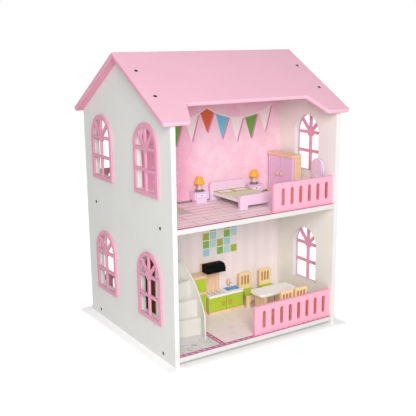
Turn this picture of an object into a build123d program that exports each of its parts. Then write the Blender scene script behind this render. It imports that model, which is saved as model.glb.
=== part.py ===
"""Wooden dollhouse with its furniture, in millimetres.

+X runs to the right along the open front, +Y to the back and +Z up. The origin is the middle of
the house on the surface that it stands on. Two gable walls carry a base panel, an upper floor and
two roof panels, and a partition under the ridge divides each storey into a front and a rear room.
"""
import os
from math import cos, radians, sin, tan

from build123d import *

# Shell of the house
HOUSE_WIDTH = 480.0        # over the outer faces of the gable walls
HOUSE_DEPTH = 456.0        # front edge to rear edge of the walls and floors
BOARD = 12.0               # walls and floors
BASE_GAP = 10.0            # air under the base panel
STOREY = 300.0             # top of one floor to top of the next
EAVE_CLEAR = 5.45          # upper window's head to the wall's eave
ROOF_PITCH = 30.8          # degrees
ROOF_BOARD = 10.0
GABLE_OVERHANG = 22.5
EAVE_OVERHANG = 12.0       # roof's upper edge past the front of the walls, level
PARTITION = 5.0
GROOVE = 4.0               # depth of the wall grooves that hold the partitions
SHADOW_GAP = 5.0           # under the upper partition
STAIRWELL_WIDTH = 115.0
STAIRWELL_FRONT = 127.0    # front edge of the floor to the stairwell

# Roof cut-outs over the open sides
CUT_TOP = 342.0            # width at the head of the cut-out
CUT_MOUTH = 388.0          # width at the eave
CUT_DEPTH = 66.0           # along the slope
TAB_ROUND = 8.0
CUT_ROUND = 6.0
ROOF_EDGE = 3.0

# Windows
WINDOW_WIDTH = 113.0
WINDOW_HEIGHT = 164.0
WINDOW_BORDER = 9.5
WINDOW_PLATE = 5.0
WINDOW_OFFSET = 117.0      # window's middle to the ridge line
WINDOW_SILL = 61.0         # above each floor
MUNTIN = 7.0
FAN_HUB = 11.0
PLATE_EDGE = 1.2

# Railings
RAIL_BOARD = 9.0
RAIL_SETBACK = 6.0         # behind the floor's front edge
UPPER_RAIL_LENGTH = 185.5
UPPER_RAIL_HEIGHT = 71.0
UPPER_RAIL_SLOTS = 6
LOWER_RAIL_LENGTH = 239.5
LOWER_RAIL_HEIGHT = 73.0
LOWER_RAIL_SLOTS = 8
RAIL_SLOT = 9.5
RAIL_FOOT = 15.0           # solid strip below the slots
RAIL_HEAD = 13.5           # solid strip above the slots
RAIL_FREE_MARGIN = 27.0    # free end to the middle of the first slot
RAIL_WALL_MARGIN = 22.0    # middle of the last slot to the wall
RAIL_CORNER = 6.0
RAIL_EDGE = 1.5

# Screws
SCREW_RADIUS = 2.0
SCREW_LENGTH = 38.0
SCREW_HEAD = 4.2
SCREW_HEAD_DEEP = 2.0
WALL_SCREW_OFFSET = 172.0
ROOF_SCREW_DOWN = (79.0, 180.0)  # from the ridge along the slope

# Winding stair against the left wall
STAIR_RADIUS = 118.0
STAIR_CLEAR = 1.0          # between the stair and the partition behind it
STAIR_PLATE = 4.0          # treads, risers and curved side
STAIR_POST = 5.0
STAIR_TREADS = 6           # the upper floor is one more rise above the last
SIDE_ANGLE = -26.0         # where the curved side starts, in degrees from the wall's normal
FIRST_ANGLE = -9.0         # the lowest riser
TREAD_ANGLE = 9.8          # the first tread's turn
SIDE_BEND = 66.0           # height of the curved side where its steep front edge bends over
SIDE_FREEBOARD = 40.0      # curved side above the lowest tread

# Furniture in general
PLAY = 0.4                 # between pieces that move past each other
PIN_RADIUS = 1.2
PIN_PLAY = 0.06
PIN_HOLD = 4.0             # depth of a hinge pin in the boards
KNOB_RADIUS = 4.0
KNOB_LENGTH = 6.0
LEAF_GAP = 1.2             # between a pair of doors
WALL_CLEAR = 4.0           # air between furniture and the walls behind it

# Bedroom
BED_FROM_WALL = 120.0      # bed's right side to the right wall
BED_WIDTH = 111.5
BED_LENGTH = 141.0
BED_BOARD = 8.0
HEADBOARD = 46.0
FOOTBOARD = 34.0
BED_DECK = 9.0
BED_DECK_TOP = 24.0
BED_LEG = 24.0
BED_ARCH = 8.0
BED_ROUND = 6.0
STAND_WIDTH = 43.0
STAND_DEPTH = 22.0
STAND_HEIGHT = 28.5
STAND_PLINTH = 9.0         # height of the plinth under the drawer block
STAND_INSET = 5.5          # plinth behind the block's sides
LEFT_STAND_GAP = 13.5      # bed to nightstand
RIGHT_STAND_GAP = 4.5
LAMP_BASE = 11.3           # radius, as the sizes of the shade and the stem
LAMP_BASE_HIGH = 5.0
LAMP_STEM = 4.7
LAMP_NECK = 3.6            # where the stem meets the shade
LAMP_STEM_HIGH = 14.5
SHADE_BOTTOM = 12.9
SHADE_TOP = 7.2
SHADE_HIGH = 18.5
WARDROBE_WIDTH = 104.0
WARDROBE_DEPTH = 31.0
WARDROBE_HEIGHT = 111.0
WARDROBE_WALL_GAP = 10.0
CARCASS = 5.0              # sides, backs and shelves of the cabinets
WARDROBE_TOP = 8.0
WARDROBE_PLINTH = 8.4
WARDROBE_KNOB_INSET = 8.0  # knob to the door's free edge
DOOR = 6.0
LIP = 2.0                  # tops and plinths stand out past the doors
TOP_OVERHANG = 1.5         # tops past the sides
TOP_ROUND = 3.0
VANITY_WIDTH = 70.0
VANITY_DEPTH = 46.0
VANITY_HEIGHT = 54.0
VANITY_TOP = 6.0
VANITY_FRONT = 22.0        # front edge of the floor to the vanity
VANITY_APRON = 16.0
MIRROR_WIDTH = 46.0
MIRROR_HEIGHT = 53.0
MIRROR_PLATE = 6.0
MIRROR_NECK = 14.0
MIRROR_LIFT = 2.0          # oval's lowest point above the table

# Kitchen
COUNTER_FROM_WALL = 148.0  # counter's right end to the right wall
COUNTER_WIDTH = 110.0
COUNTER_DEPTH = 40.0
COUNTER_HEIGHT = 51.0
WORKTOP = 6.0
COUNTER_PLINTH = 6.0
COUNTER_KNOB_INSET = 10.0  # knob to the door's free edge
TAP_FROM_END = 26.0        # tap's middle to the worktop's right end
TAP_STEM = 2.2             # radius
TAP_RADIUS = 4.0
TAP_LIFT = 9.0             # worktop to the tap's thick head
TAP_HIGH = 25.0
SPOUT_RADIUS = 2.6
SPOUT_REACH = 14.0
HOOD_BOARD_WIDTH = 57.0
HOOD_BOARD_HIGH = 81.0
HOOD_BOARD = 5.0
HOOD_WIDTH = 56.5
HOOD_RIGHT = 2.0           # hood past the backboard's right edge
HOOD_DEPTH = 28.0
HOOD_HIGH = 22.0
HOOD_ROUND = 14.0
CUPBOARD_WIDTH = 48.0
CUPBOARD_DEPTH = 36.0
CUPBOARD_HEIGHT = 109.5
CUPBOARD_GAP = 6.0         # to the counter beside it
CUPBOARD_UPPER = 36.5      # height of the upper door's opening
CUPBOARD_RAIL = 7.5        # strip between the two doors
CUPBOARD_TOP = 6.5
CUPBOARD_PLINTH = 10.0
TABLE_FROM_WALL = 39.5     # table's right end to the right wall
TABLE_FROM_FRONT = 116.0   # front edge of the floor to the table's middle
TABLE_LENGTH = 118.0
TABLE_WIDTH = 54.0
TABLE_HEIGHT = 62.0
TABLE_TOP = 7.0
TABLE_ROUND = 9.0
TABLE_LEG = 8.0
TABLE_LEG_INSET = 18.0
TABLE_LEG_WIDTH = 42.0
TABLE_ARCH = 12.0
CHAIR_WIDTH = 40.0
CHAIR_DEPTH = 42.0
CHAIR_HEIGHT = 86.0
CHAIR_BOARD = 6.0
SEAT_HEIGHT = 40.0
SEAT_BOARD = 7.0
CHAIR_SLOT = 5.0
CHAIR_SLOT_HIGH = 26.0
CHAIR_ARCH_WIDTH = 18.0    # round-headed arch between the feet of each board
CHAIR_ARCH_HIGH = 18.0
CHAIR_HEAD = 8.0           # solid strip over the back's slots
CHAIR_ROUND = 4.0
CHAIR_CLEAR = 3.0          # between the counter's end and the first rear chair
REAR_CHAIR_PITCH = 68.0
REAR_CHAIR_GAP = 11.5      # between the rear chairs' backs and the partition
FRONT_CHAIR_PITCH = 46.0
FRONT_CHAIR_GAP = 31.0     # between the front chairs' backs and the front edge of the floor

# Derived places
HALF_WIDTH = HOUSE_WIDTH / 2
INNER = HALF_WIDTH - BOARD                     # inner face of the right wall
FRONT = -HOUSE_DEPTH / 2
BASE_TOP = BASE_GAP + BOARD
UPPER_TOP = BASE_TOP + STOREY
SLOPE = tan(radians(ROOF_PITCH))
EAVE = UPPER_TOP + WINDOW_SILL + WINDOW_HEIGHT + EAVE_CLEAR
ROOF_UNDER = EAVE + SLOPE * HOUSE_DEPTH / 2    # underside at the ridge
RIDGE = ROOF_UNDER + ROOF_BOARD / cos(radians(ROOF_PITCH))
ROOF_SLANT = (HOUSE_DEPTH / 2 + EAVE_OVERHANG) / cos(radians(ROOF_PITCH))
ROOM_BACK = -PARTITION / 2                     # front face of the partitions
SIDES = {"left": -1, "right": 1}
FACINGS = {"front": -1, "rear": 1}
FLOORS = {"lower": BASE_TOP, "upper": UPPER_TOP}
BED_LEFT = INNER - BED_FROM_WALL - BED_WIDTH
COUNTER_LEFT = INNER - COUNTER_FROM_WALL - COUNTER_WIDTH
FIRST_CHAIR = COUNTER_LEFT + COUNTER_WIDTH + CHAIR_CLEAR + CHAIR_WIDTH / 2
TABLE_X = INNER - TABLE_FROM_WALL - TABLE_LENGTH / 2
TABLE_Y = FRONT + TABLE_FROM_FRONT

os.makedirs("parts", exist_ok=True)


def save(part, name):
    """Label a finished piece and write it."""
    part.label = name
    export_step(part, f"parts/{name}.step")


def side_plane(side, x, y=0.0, z=0.0):
    """Plane that faces out of a gable wall, with its own y axis upward."""
    return Plane(origin=(side * x, y, z), x_dir=(0, side, 0), z_dir=(side, 0, 0))


def roof_plane(facing, x=0.0, down=0.0):
    """Plane on top of a roof panel, its y axis up the slope, at a place along and down from the ridge."""
    pitch = radians(ROOF_PITCH)
    place = (x, facing * down * cos(pitch), RIDGE - down * sin(pitch))
    return Plane(origin=place, x_dir=(-facing, 0, 0), z_dir=(0, facing * sin(pitch), cos(pitch)))


def upright(x, y, z):
    """Plane that faces the front, with its own y axis upward."""
    return Plane(origin=(x, y, z), x_dir=(1, 0, 0), z_dir=(0, -1, 0))


def level(x, y, z):
    """Horizontal plane with its origin at a given point."""
    return Plane(origin=(x, y, z))


# Screws come first, because the boards are drilled with them
def screws(planes):
    """Countersunk screws that stand on planes facing out of the boards."""
    with BuildPart() as group:
        with Locations(*[plane.location for plane in planes]):
            Cylinder(SCREW_RADIUS, SCREW_LENGTH, align=(Align.CENTER, Align.CENTER, Align.MAX))
            Cylinder(SCREW_HEAD, SCREW_HEAD_DEEP, align=(Align.CENTER, Align.CENTER, Align.MAX))
    return group.part


wall_screws = screws(
    [
        side_plane(side, HALF_WIDTH, facing * WALL_SCREW_OFFSET, floor - BOARD / 2)
        for side in SIDES.values()
        for facing in FACINGS.values()
        for floor in FLOORS.values()
    ]
)
roof_screws = screws(
    [
        roof_plane(facing, side * (HALF_WIDTH - BOARD / 2), down)
        for facing in FACINGS.values()
        for side in SIDES.values()
        for down in ROOF_SCREW_DOWN
    ]
)
save(wall_screws, "wall_screws")
save(roof_screws, "roof_screws")

# Partitions
with BuildPart() as lower_partition:
    with BuildSketch(Plane.XY.offset(BASE_TOP)):
        Rectangle(2 * (INNER + GROOVE), PARTITION)
    extrude(amount=STOREY - BOARD)
save(lower_partition.part, "lower_partition")

with BuildPart() as upper_partition:
    with BuildSketch(Plane.XY.offset(UPPER_TOP + SHADOW_GAP)):
        Rectangle(2 * (INNER + GROOVE), PARTITION)
    extrude(amount=ROOF_UNDER - SLOPE * PARTITION / 2 - UPPER_TOP - SHADOW_GAP)
save(upper_partition.part, "upper_partition")

# Floors
with BuildPart() as base_panel:
    with BuildSketch(Plane.XY.offset(BASE_GAP)):
        Rectangle(2 * INNER, HOUSE_DEPTH)
    extrude(amount=BOARD)
    add(wall_screws, mode=Mode.SUBTRACT)
save(base_panel.part, "base_panel")

with BuildPart() as upper_floor:
    with BuildSketch(Plane.XY.offset(UPPER_TOP - BOARD)):
        Rectangle(2 * INNER, HOUSE_DEPTH)
        with Locations((-INNER, FRONT + STAIRWELL_FRONT)):
            Rectangle(
                STAIRWELL_WIDTH,
                ROOM_BACK - FRONT - STAIRWELL_FRONT,
                align=(Align.MIN, Align.MIN),
                mode=Mode.SUBTRACT,
            )
    extrude(amount=BOARD)
    add(wall_screws, mode=Mode.SUBTRACT)
save(upper_floor.part, "upper_floor")

# Gable walls with their round-headed window openings
for side_name, side in SIDES.items():
    with BuildPart() as wall:
        with BuildSketch(side_plane(side, INNER)):
            with BuildLine():
                Polyline(
                    (FRONT, 0), (-FRONT, 0), (-FRONT, EAVE), (0, ROOF_UNDER), (FRONT, EAVE), close=True
                )
            make_face()
            clear_width = WINDOW_WIDTH - 2 * WINDOW_BORDER
            clear_height = WINDOW_HEIGHT - 2 * WINDOW_BORDER
            for floor in FLOORS.values():
                clear_sill = floor + WINDOW_SILL + WINDOW_BORDER
                with Locations((-WINDOW_OFFSET, clear_sill), (WINDOW_OFFSET, clear_sill)):
                    Rectangle(
                        clear_width,
                        clear_height - clear_width / 2,
                        align=(Align.CENTER, Align.MIN),
                        mode=Mode.SUBTRACT,
                    )
                spring = clear_sill + clear_height - clear_width / 2
                with Locations((-WINDOW_OFFSET, spring), (WINDOW_OFFSET, spring)):
                    Circle(clear_width / 2, mode=Mode.SUBTRACT)
        extrude(amount=BOARD)
        add(wall_screws, mode=Mode.SUBTRACT)
        add(roof_screws, mode=Mode.SUBTRACT)
        add(lower_partition.part, mode=Mode.SUBTRACT)
        add(upper_partition.part, mode=Mode.SUBTRACT)
    save(wall.part, f"{side_name}_wall")

# Roof panels, mitred at the ridge
for facing_name, facing in FACINGS.items():
    slope_plane = roof_plane(facing)
    with BuildPart() as roof_panel:
        with BuildSketch(slope_plane):
            half = HALF_WIDTH + GABLE_OVERHANG
            with BuildLine():
                Polyline(
                    (-half, 0),
                    (half, 0),
                    (half, -ROOF_SLANT),
                    (CUT_MOUTH / 2, -ROOF_SLANT),
                    (CUT_TOP / 2, CUT_DEPTH - ROOF_SLANT),
                    (-CUT_TOP / 2, CUT_DEPTH - ROOF_SLANT),
                    (-CUT_MOUTH / 2, -ROOF_SLANT),
                    (-half, -ROOF_SLANT),
                    close=True,
                )
            make_face()
        extrude(amount=-ROOF_BOARD)
        up_slope = Axis(slope_plane.origin, slope_plane.y_dir)
        through = Axis(slope_plane.origin, slope_plane.z_dir)
        eave_corners = roof_panel.edges().filter_by(through).group_by(up_slope)[0]
        fillet(eave_corners, TAB_ROUND)
        cut_heads = roof_panel.edges().filter_by(through).group_by(up_slope)[-2]
        fillet(cut_heads, CUT_ROUND)
        ridge_first = roof_panel.faces().filter_by(through).edges().sort_by(up_slope, reverse=True)
        fillet(ridge_first[2:], ROOF_EDGE)
        split(bisect_by=Plane.XZ, keep=Keep.TOP if facing < 0 else Keep.BOTTOM)
        add(roof_screws, mode=Mode.SUBTRACT)
    save(roof_panel.part, f"{facing_name}_roof_panel")


# Arched window frames with a fan-light
def window_frame(side, y, sill):
    """Plate frame on the outside of a gable wall: border, two bars, a mullion and a fan of spokes."""
    radius = WINDOW_WIDTH / 2
    spring = WINDOW_HEIGHT - radius
    inner = radius - WINDOW_BORDER
    with BuildPart() as frame:
        with BuildSketch(side_plane(side, HALF_WIDTH, y, sill)):
            Rectangle(WINDOW_WIDTH, spring, align=(Align.CENTER, Align.MIN))
            with Locations((0, spring)):
                Circle(radius)
            with Locations((0, WINDOW_BORDER)):
                Rectangle(
                    2 * inner, spring - WINDOW_BORDER, align=(Align.CENTER, Align.MIN), mode=Mode.SUBTRACT
                )
            with Locations((0, spring)):
                Circle(inner, mode=Mode.SUBTRACT)
            Rectangle(MUNTIN, WINDOW_HEIGHT - WINDOW_BORDER / 2, align=(Align.CENTER, Align.MIN))
            with Locations((0, spring), (0, (WINDOW_BORDER + spring) / 2)):
                Rectangle(2 * inner + WINDOW_BORDER, MUNTIN)
            with Locations((0, spring)):
                Circle(FAN_HUB)
                for turn in (-45, 45):
                    Rectangle(
                        MUNTIN, inner + WINDOW_BORDER / 2, rotation=turn, align=(Align.CENTER, Align.MIN)
                    )
        extrude(amount=WINDOW_PLATE)
    return frame.part


for side_name, side in SIDES.items():
    for facing_name, facing in FACINGS.items():
        for floor_name, floor in FLOORS.items():
            save(
                window_frame(side, facing * WINDOW_OFFSET, floor + WINDOW_SILL),
                f"{side_name}_{facing_name}_{floor_name}_window",
            )


# Railings at the right-hand end of each open side, seen from that side
def railing(facing, floor, length, height, slots):
    """Board with round-ended slots, standing on a floor against the wall on its right."""
    pitch = (length - RAIL_FREE_MARGIN - RAIL_WALL_MARGIN) / (slots - 1)
    slot_high = height - RAIL_FOOT - RAIL_HEAD
    edge = facing * (HOUSE_DEPTH / 2 - RAIL_SETBACK)
    plane = Plane(
        origin=(-facing * (INNER - length / 2), edge, floor), x_dir=(-facing, 0, 0), z_dir=(0, facing, 0)
    )
    with BuildPart() as rail:
        with BuildSketch(plane):
            Rectangle(length, height, align=(Align.CENTER, Align.MIN))
            with Locations(((RAIL_FREE_MARGIN - RAIL_WALL_MARGIN) / 2, RAIL_FOOT + slot_high / 2)):
                with GridLocations(pitch, 1, slots, 1):
                    SlotOverall(slot_high, RAIL_SLOT, rotation=90, mode=Mode.SUBTRACT)
        extrude(amount=-RAIL_BOARD)
        corners = rail.edges().filter_by(Axis.Y).group_by(Axis.Z)[-1]
        free_corner = corners.sort_by(Axis.X)[0 if facing < 0 else -1]
        fillet(free_corner, RAIL_CORNER)
        rims = rail.faces().sort_by(Axis.Y)[0 if facing < 0 else -1].outer_wire().edges()
        fillet(rims.sort_by(Axis.Z)[1:], RAIL_EDGE)
    return rail.part


for facing_name, facing in FACINGS.items():
    upper_railing = railing(facing, UPPER_TOP, UPPER_RAIL_LENGTH, UPPER_RAIL_HEIGHT, UPPER_RAIL_SLOTS)
    save(upper_railing, f"{facing_name}_upper_railing")
    lower_railing = railing(facing, BASE_TOP, LOWER_RAIL_LENGTH, LOWER_RAIL_HEIGHT, LOWER_RAIL_SLOTS)
    save(lower_railing, f"{facing_name}_lower_railing")

# Winding stair, a quarter turn that ends at the left wall under the stairwell
STAIR_HUB = (-INNER, ROOM_BACK - STAIR_CLEAR - STAIR_RADIUS)
TREAD_RADIUS = STAIR_RADIUS - STAIR_PLATE
RISE = STOREY / (STAIR_TREADS + 1)
LAST_ANGLE = 90.0
# Each tread turns by the same amount more than the one below
growth = (LAST_ANGLE - FIRST_ANGLE - STAIR_TREADS * TREAD_ANGLE) / (STAIR_TREADS * (STAIR_TREADS - 1) / 2)
riser_angles = [
    FIRST_ANGLE + TREAD_ANGLE * step + growth * step * (step - 1) / 2 for step in range(STAIR_TREADS + 1)
]
tread_tops = [BASE_TOP + RISE * (step + 1) for step in range(STAIR_TREADS)]


def sector(radius, start, end, mode=Mode.ADD):
    """Wedge of a circle about the sketch's origin, between two angles."""
    reach = Vector(radius, 0)
    with BuildLine() as wedge:
        Line((0, 0), reach.rotate(Axis.Z, start))
        CenterArc((0, 0), radius, start, end - start)
        Line(reach.rotate(Axis.Z, end), (0, 0))
    make_face(wedge.edges(), mode=mode)


with BuildPart() as stair_steps:
    for step in range(STAIR_TREADS):
        start, end = riser_angles[step], riser_angles[step + 1]
        with BuildSketch(level(*STAIR_HUB, tread_tops[step] - STAIR_PLATE)):
            sector(TREAD_RADIUS, start, end)
        extrude(amount=STAIR_PLATE)
        foot = BASE_TOP if step == 0 else tread_tops[step - 1] - STAIR_PLATE
        with BuildSketch(level(*STAIR_HUB, foot)):
            Rectangle(TREAD_RADIUS, STAIR_PLATE, rotation=start, align=(Align.MIN, Align.MIN))
            sector(TREAD_RADIUS, start, LAST_ANGLE, Mode.INTERSECT)
        extrude(amount=tread_tops[step] - foot)
    with BuildSketch(level(*STAIR_HUB, BASE_TOP)):
        sector(STAIR_POST, FIRST_ANGLE, LAST_ANGLE)
    extrude(amount=tread_tops[-1] - BASE_TOP)
save(stair_steps.part, "stair_steps")


def side_y(angle):
    """Depth of the curved side's outer face at an angle about the post."""
    return STAIR_HUB[1] + STAIR_RADIUS * sin(radians(angle))


# The curved side is a piece of tube whose crest is cut to one sweeping line, seen square to the wall
with BuildPart() as stair_side:
    with BuildSketch(level(*STAIR_HUB, BASE_TOP)):
        sector(STAIR_RADIUS, SIDE_ANGLE, LAST_ANGLE)
        Circle(TREAD_RADIUS, mode=Mode.SUBTRACT)
    extrude(amount=STOREY)
    with BuildSketch(Plane.YZ.offset(-INNER)):
        foot = (side_y(SIDE_ANGLE) - STAIR_PLATE, BASE_TOP)
        crest = [foot, (side_y((SIDE_ANGLE + FIRST_ANGLE) / 2), BASE_TOP + SIDE_BEND)]
        for angle, top, step in zip(riser_angles, tread_tops, range(STAIR_TREADS)):
            freeboard = SIDE_FREEBOARD * (1 - step / STAIR_TREADS) ** 3
            crest.append((side_y(angle), top + freeboard))
        crest.append((side_y(LAST_ANGLE) + STAIR_CLEAR / 2, UPPER_TOP))
        with BuildLine():
            Polyline(crest[-1], (crest[-1][0], BASE_TOP), foot)
            Spline(*crest)
        make_face()
    extrude(amount=2 * STAIR_RADIUS, mode=Mode.INTERSECT)
save(stair_side.part, "stair_curved_side")

# Bed
bed_middle = BED_LEFT + BED_WIDTH / 2
bed_back = ROOM_BACK - WALL_CLEAR
bed_foot = bed_back - BED_LENGTH
with BuildPart() as bed_headboard:
    with BuildSketch(upright(bed_middle, bed_back, UPPER_TOP)) as outline:
        Rectangle(BED_WIDTH, HEADBOARD, align=(Align.CENTER, Align.MIN))
        fillet(outline.vertices().group_by(Axis.Y)[-1], BED_ROUND)
    extrude(amount=BED_BOARD)
save(bed_headboard.part, "bed_headboard")

with BuildPart() as bed_footboard:
    with BuildSketch(upright(bed_middle, bed_foot + BED_BOARD, UPPER_TOP)) as outline:
        Rectangle(BED_WIDTH, FOOTBOARD, align=(Align.CENTER, Align.MIN))
        fillet(outline.vertices().group_by(Axis.Y)[-1], BED_ROUND)
        Rectangle(BED_WIDTH - 2 * BED_LEG, 2 * BED_ARCH, mode=Mode.SUBTRACT)
    extrude(amount=BED_BOARD)
save(bed_footboard.part, "bed_footboard")

with BuildPart() as bed_deck:
    with BuildSketch(level(bed_middle, (bed_back + bed_foot) / 2, UPPER_TOP + BED_DECK_TOP - BED_DECK)):
        Rectangle(BED_WIDTH - 2 * BED_ROUND, BED_LENGTH - 2 * BED_BOARD)
    extrude(amount=BED_DECK)
save(bed_deck.part, "bed_deck")

# Nightstands, and a turned lamp on each
for stand_name, stand_x in (
    ("left", BED_LEFT - LEFT_STAND_GAP - STAND_WIDTH / 2),
    ("right", BED_LEFT + BED_WIDTH + RIGHT_STAND_GAP + STAND_WIDTH / 2),
):
    stand_front = ROOM_BACK - WALL_CLEAR - STAND_DEPTH
    with BuildPart() as nightstand:
        with BuildSketch(upright(stand_x, stand_front + STAND_DEPTH, UPPER_TOP)):
            Rectangle(STAND_WIDTH - 2 * STAND_INSET, STAND_PLINTH, align=(Align.CENTER, Align.MIN))
            with Locations((0, STAND_PLINTH)):
                Rectangle(STAND_WIDTH, STAND_HEIGHT - STAND_PLINTH, align=(Align.CENTER, Align.MIN))
        extrude(amount=STAND_DEPTH)
    save(nightstand.part, f"{stand_name}_nightstand")

    lamp_plane = upright(stand_x, stand_front + STAND_DEPTH / 2, UPPER_TOP + STAND_HEIGHT)
    shade_foot = LAMP_BASE_HIGH + LAMP_STEM_HIGH
    shade_head = shade_foot + SHADE_HIGH
    with BuildPart() as lamp:
        with BuildSketch(lamp_plane):
            with BuildLine():
                Polyline(
                    (0, 0),
                    (LAMP_BASE, 0),
                    (LAMP_BASE, LAMP_BASE_HIGH),
                    (LAMP_STEM, LAMP_BASE_HIGH),
                    (LAMP_NECK, shade_foot),
                    (SHADE_BOTTOM, shade_foot),
                    (SHADE_TOP, shade_head),
                    (0, shade_head),
                    close=True,
                )
            make_face()
        revolve(axis=Axis(lamp_plane.origin, (0, 0, 1)))
    save(lamp.part, f"{stand_name}_lamp")


# Cabinets with doors on pins
def door(plane, width, height, hinge):
    """Flat door in a plane that faces out of the cabinet, its hinge edge rounded about the pin.

    The plane's origin is the door's middle on its back face. hinge is -1 or 1, the side of the pin.
    """
    pin_x = hinge * (width / 2 - DOOR / 2)
    with BuildPart() as leaf:
        with BuildSketch(plane.offset(DOOR / 2)) as middle:
            Rectangle(width, height)
        extrude(amount=DOOR / 2, both=True)
        at_hinge = leaf.edges().filter_by(Axis.Z).filter_by(
            lambda line: hinge * plane.to_local_coords(line.center()).X > 0
        )
        fillet(at_hinge, DOOR / 2 - PIN_PLAY)
        with Locations(plane.from_local_coords((pin_x, 0, DOOR / 2))):
            Cylinder(PIN_RADIUS + PIN_PLAY, 2 * height, mode=Mode.SUBTRACT)
    return leaf.part


def knob(plane, x, y):
    """Turned knob that stands on a plane at a given place."""
    with BuildPart() as turned:
        with BuildSketch(plane.offset(KNOB_LENGTH / 3)):
            with Locations((x, y)):
                Circle(KNOB_RADIUS)
        extrude(amount=KNOB_LENGTH * 2 / 3)
        chamfer(turned.edges().filter_by(GeomType.CIRCLE), KNOB_RADIUS / 4)
        with BuildSketch(plane):
            with Locations((x, y)):
                Circle(KNOB_RADIUS / 2)
        extrude(amount=KNOB_LENGTH / 2)
    return turned.part


def pins(places, foot, head):
    """Upright hinge pins at given places, from one height to another."""
    with BuildPart() as group:
        with Locations(*[(x, y, foot) for x, y in places]):
            Cylinder(PIN_RADIUS, head - foot, align=(Align.CENTER, Align.CENTER, Align.MIN))
    return group.part


def carcass(plane, width, depth, height, plinth, top, shelf, pin_group):
    """Cabinet without its doors: plinth, top, sides, back and one shelf, open towards the plane's normal.

    The plane lies on the back of the cabinet, with its origin at the middle of the foot.
    """
    front = depth - LIP - DOOR - PLAY
    with BuildPart() as body:
        with BuildSketch(plane):
            Rectangle(width, height, align=(Align.CENTER, Align.MIN))
        extrude(amount=front)
        with BuildSketch(plane.offset(CARCASS)):
            with Locations((0, plinth)):
                Rectangle(
                    width - 2 * CARCASS, height - plinth - top, align=(Align.CENTER, Align.MIN), mode=Mode.ADD
                )
            with Locations((0, shelf)):
                Rectangle(width, CARCASS, mode=Mode.SUBTRACT)
        extrude(amount=front - CARCASS, mode=Mode.SUBTRACT)
        with BuildSketch(plane.offset(front)):
            Rectangle(width, plinth, align=(Align.CENTER, Align.MIN))
        extrude(amount=depth - front)
        with BuildSketch(plane):
            with Locations((0, height)):
                Rectangle(width + 2 * TOP_OVERHANG, top, align=(Align.CENTER, Align.MAX))
        extrude(amount=depth)
        lid_corners = body.edges().filter_by(Axis.Z).filter_by(
            lambda line: abs(plane.to_local_coords(line.center()).X) > width / 2 + TOP_OVERHANG / 2
        )
        fillet(lid_corners, TOP_ROUND)
        add(pin_group, mode=Mode.SUBTRACT)
    return body.part


def pin_places(plane, width, depth, hinges):
    """Plan positions of the hinge pins of a cabinet."""
    across = width / 2 - DOOR / 2
    ahead = depth - LIP - DOOR / 2
    spots = [plane.from_local_coords((hinge * across, 0, ahead)) for hinge in hinges]
    return [(spot.X, spot.Y) for spot in spots]


# Wardrobe, its doors facing left
wardrobe_back = INNER - WARDROBE_WALL_GAP
wardrobe_middle = ROOM_BACK - WALL_CLEAR - WARDROBE_WIDTH / 2
wardrobe_plane = Plane(
    origin=(wardrobe_back, wardrobe_middle, UPPER_TOP), x_dir=(0, -1, 0), z_dir=(-1, 0, 0)
)
wardrobe_low = UPPER_TOP + WARDROBE_PLINTH
wardrobe_high = UPPER_TOP + WARDROBE_HEIGHT - WARDROBE_TOP
wardrobe_pins = pins(
    pin_places(wardrobe_plane, WARDROBE_WIDTH, WARDROBE_DEPTH, (-1, 1)),
    wardrobe_low - PIN_HOLD,
    wardrobe_high + PIN_HOLD,
)
save(wardrobe_pins, "wardrobe_hinge_pins")
save(
    carcass(
        wardrobe_plane,
        WARDROBE_WIDTH,
        WARDROBE_DEPTH,
        WARDROBE_HEIGHT,
        WARDROBE_PLINTH,
        WARDROBE_TOP,
        WARDROBE_HEIGHT * 2 / 3,
        wardrobe_pins,
    ),
    "wardrobe_body",
)
wardrobe_leaf = WARDROBE_WIDTH / 2 - LEAF_GAP / 2
wardrobe_leaf_high = wardrobe_high - wardrobe_low - 2 * PLAY
for leaf_name, hinge in (("rear", -1), ("front", 1)):
    leaf_plane = Plane(
        origin=(
            wardrobe_back - (WARDROBE_DEPTH - LIP - DOOR),
            wardrobe_middle - hinge * (WARDROBE_WIDTH - wardrobe_leaf) / 2,
            (wardrobe_low + wardrobe_high) / 2,
        ),
        x_dir=wardrobe_plane.x_dir,
        z_dir=wardrobe_plane.z_dir,
    )
    save(door(leaf_plane, wardrobe_leaf, wardrobe_leaf_high, hinge), f"wardrobe_{leaf_name}_door")
    knob_x = -hinge * (wardrobe_leaf / 2 - WARDROBE_KNOB_INSET)
    save(knob(leaf_plane.offset(DOOR), knob_x, 0), f"wardrobe_{leaf_name}_knob")

# Vanity with an oval mirror, its back to the right wall
vanity_middle = FRONT + VANITY_FRONT + VANITY_WIDTH / 2
vanity_back = INNER - WALL_CLEAR
vanity_plane = Plane(origin=(vanity_back, vanity_middle, UPPER_TOP), x_dir=(0, -1, 0), z_dir=(-1, 0, 0))
with BuildPart() as vanity_table:
    with BuildSketch(vanity_plane):
        Rectangle(VANITY_WIDTH, VANITY_HEIGHT, align=(Align.CENTER, Align.MIN))
        Rectangle(
            VANITY_WIDTH - 2 * CARCASS - 2 * LIP,
            VANITY_HEIGHT - VANITY_TOP - VANITY_APRON,
            align=(Align.CENTER, Align.MIN),
            mode=Mode.SUBTRACT,
        )
        with GridLocations(VANITY_WIDTH, 1, 2, 1):
            Rectangle(
                2 * LIP, VANITY_HEIGHT - VANITY_TOP, align=(Align.CENTER, Align.MIN), mode=Mode.SUBTRACT
            )
    extrude(amount=VANITY_DEPTH)
save(vanity_table.part, "vanity_table")

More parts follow.
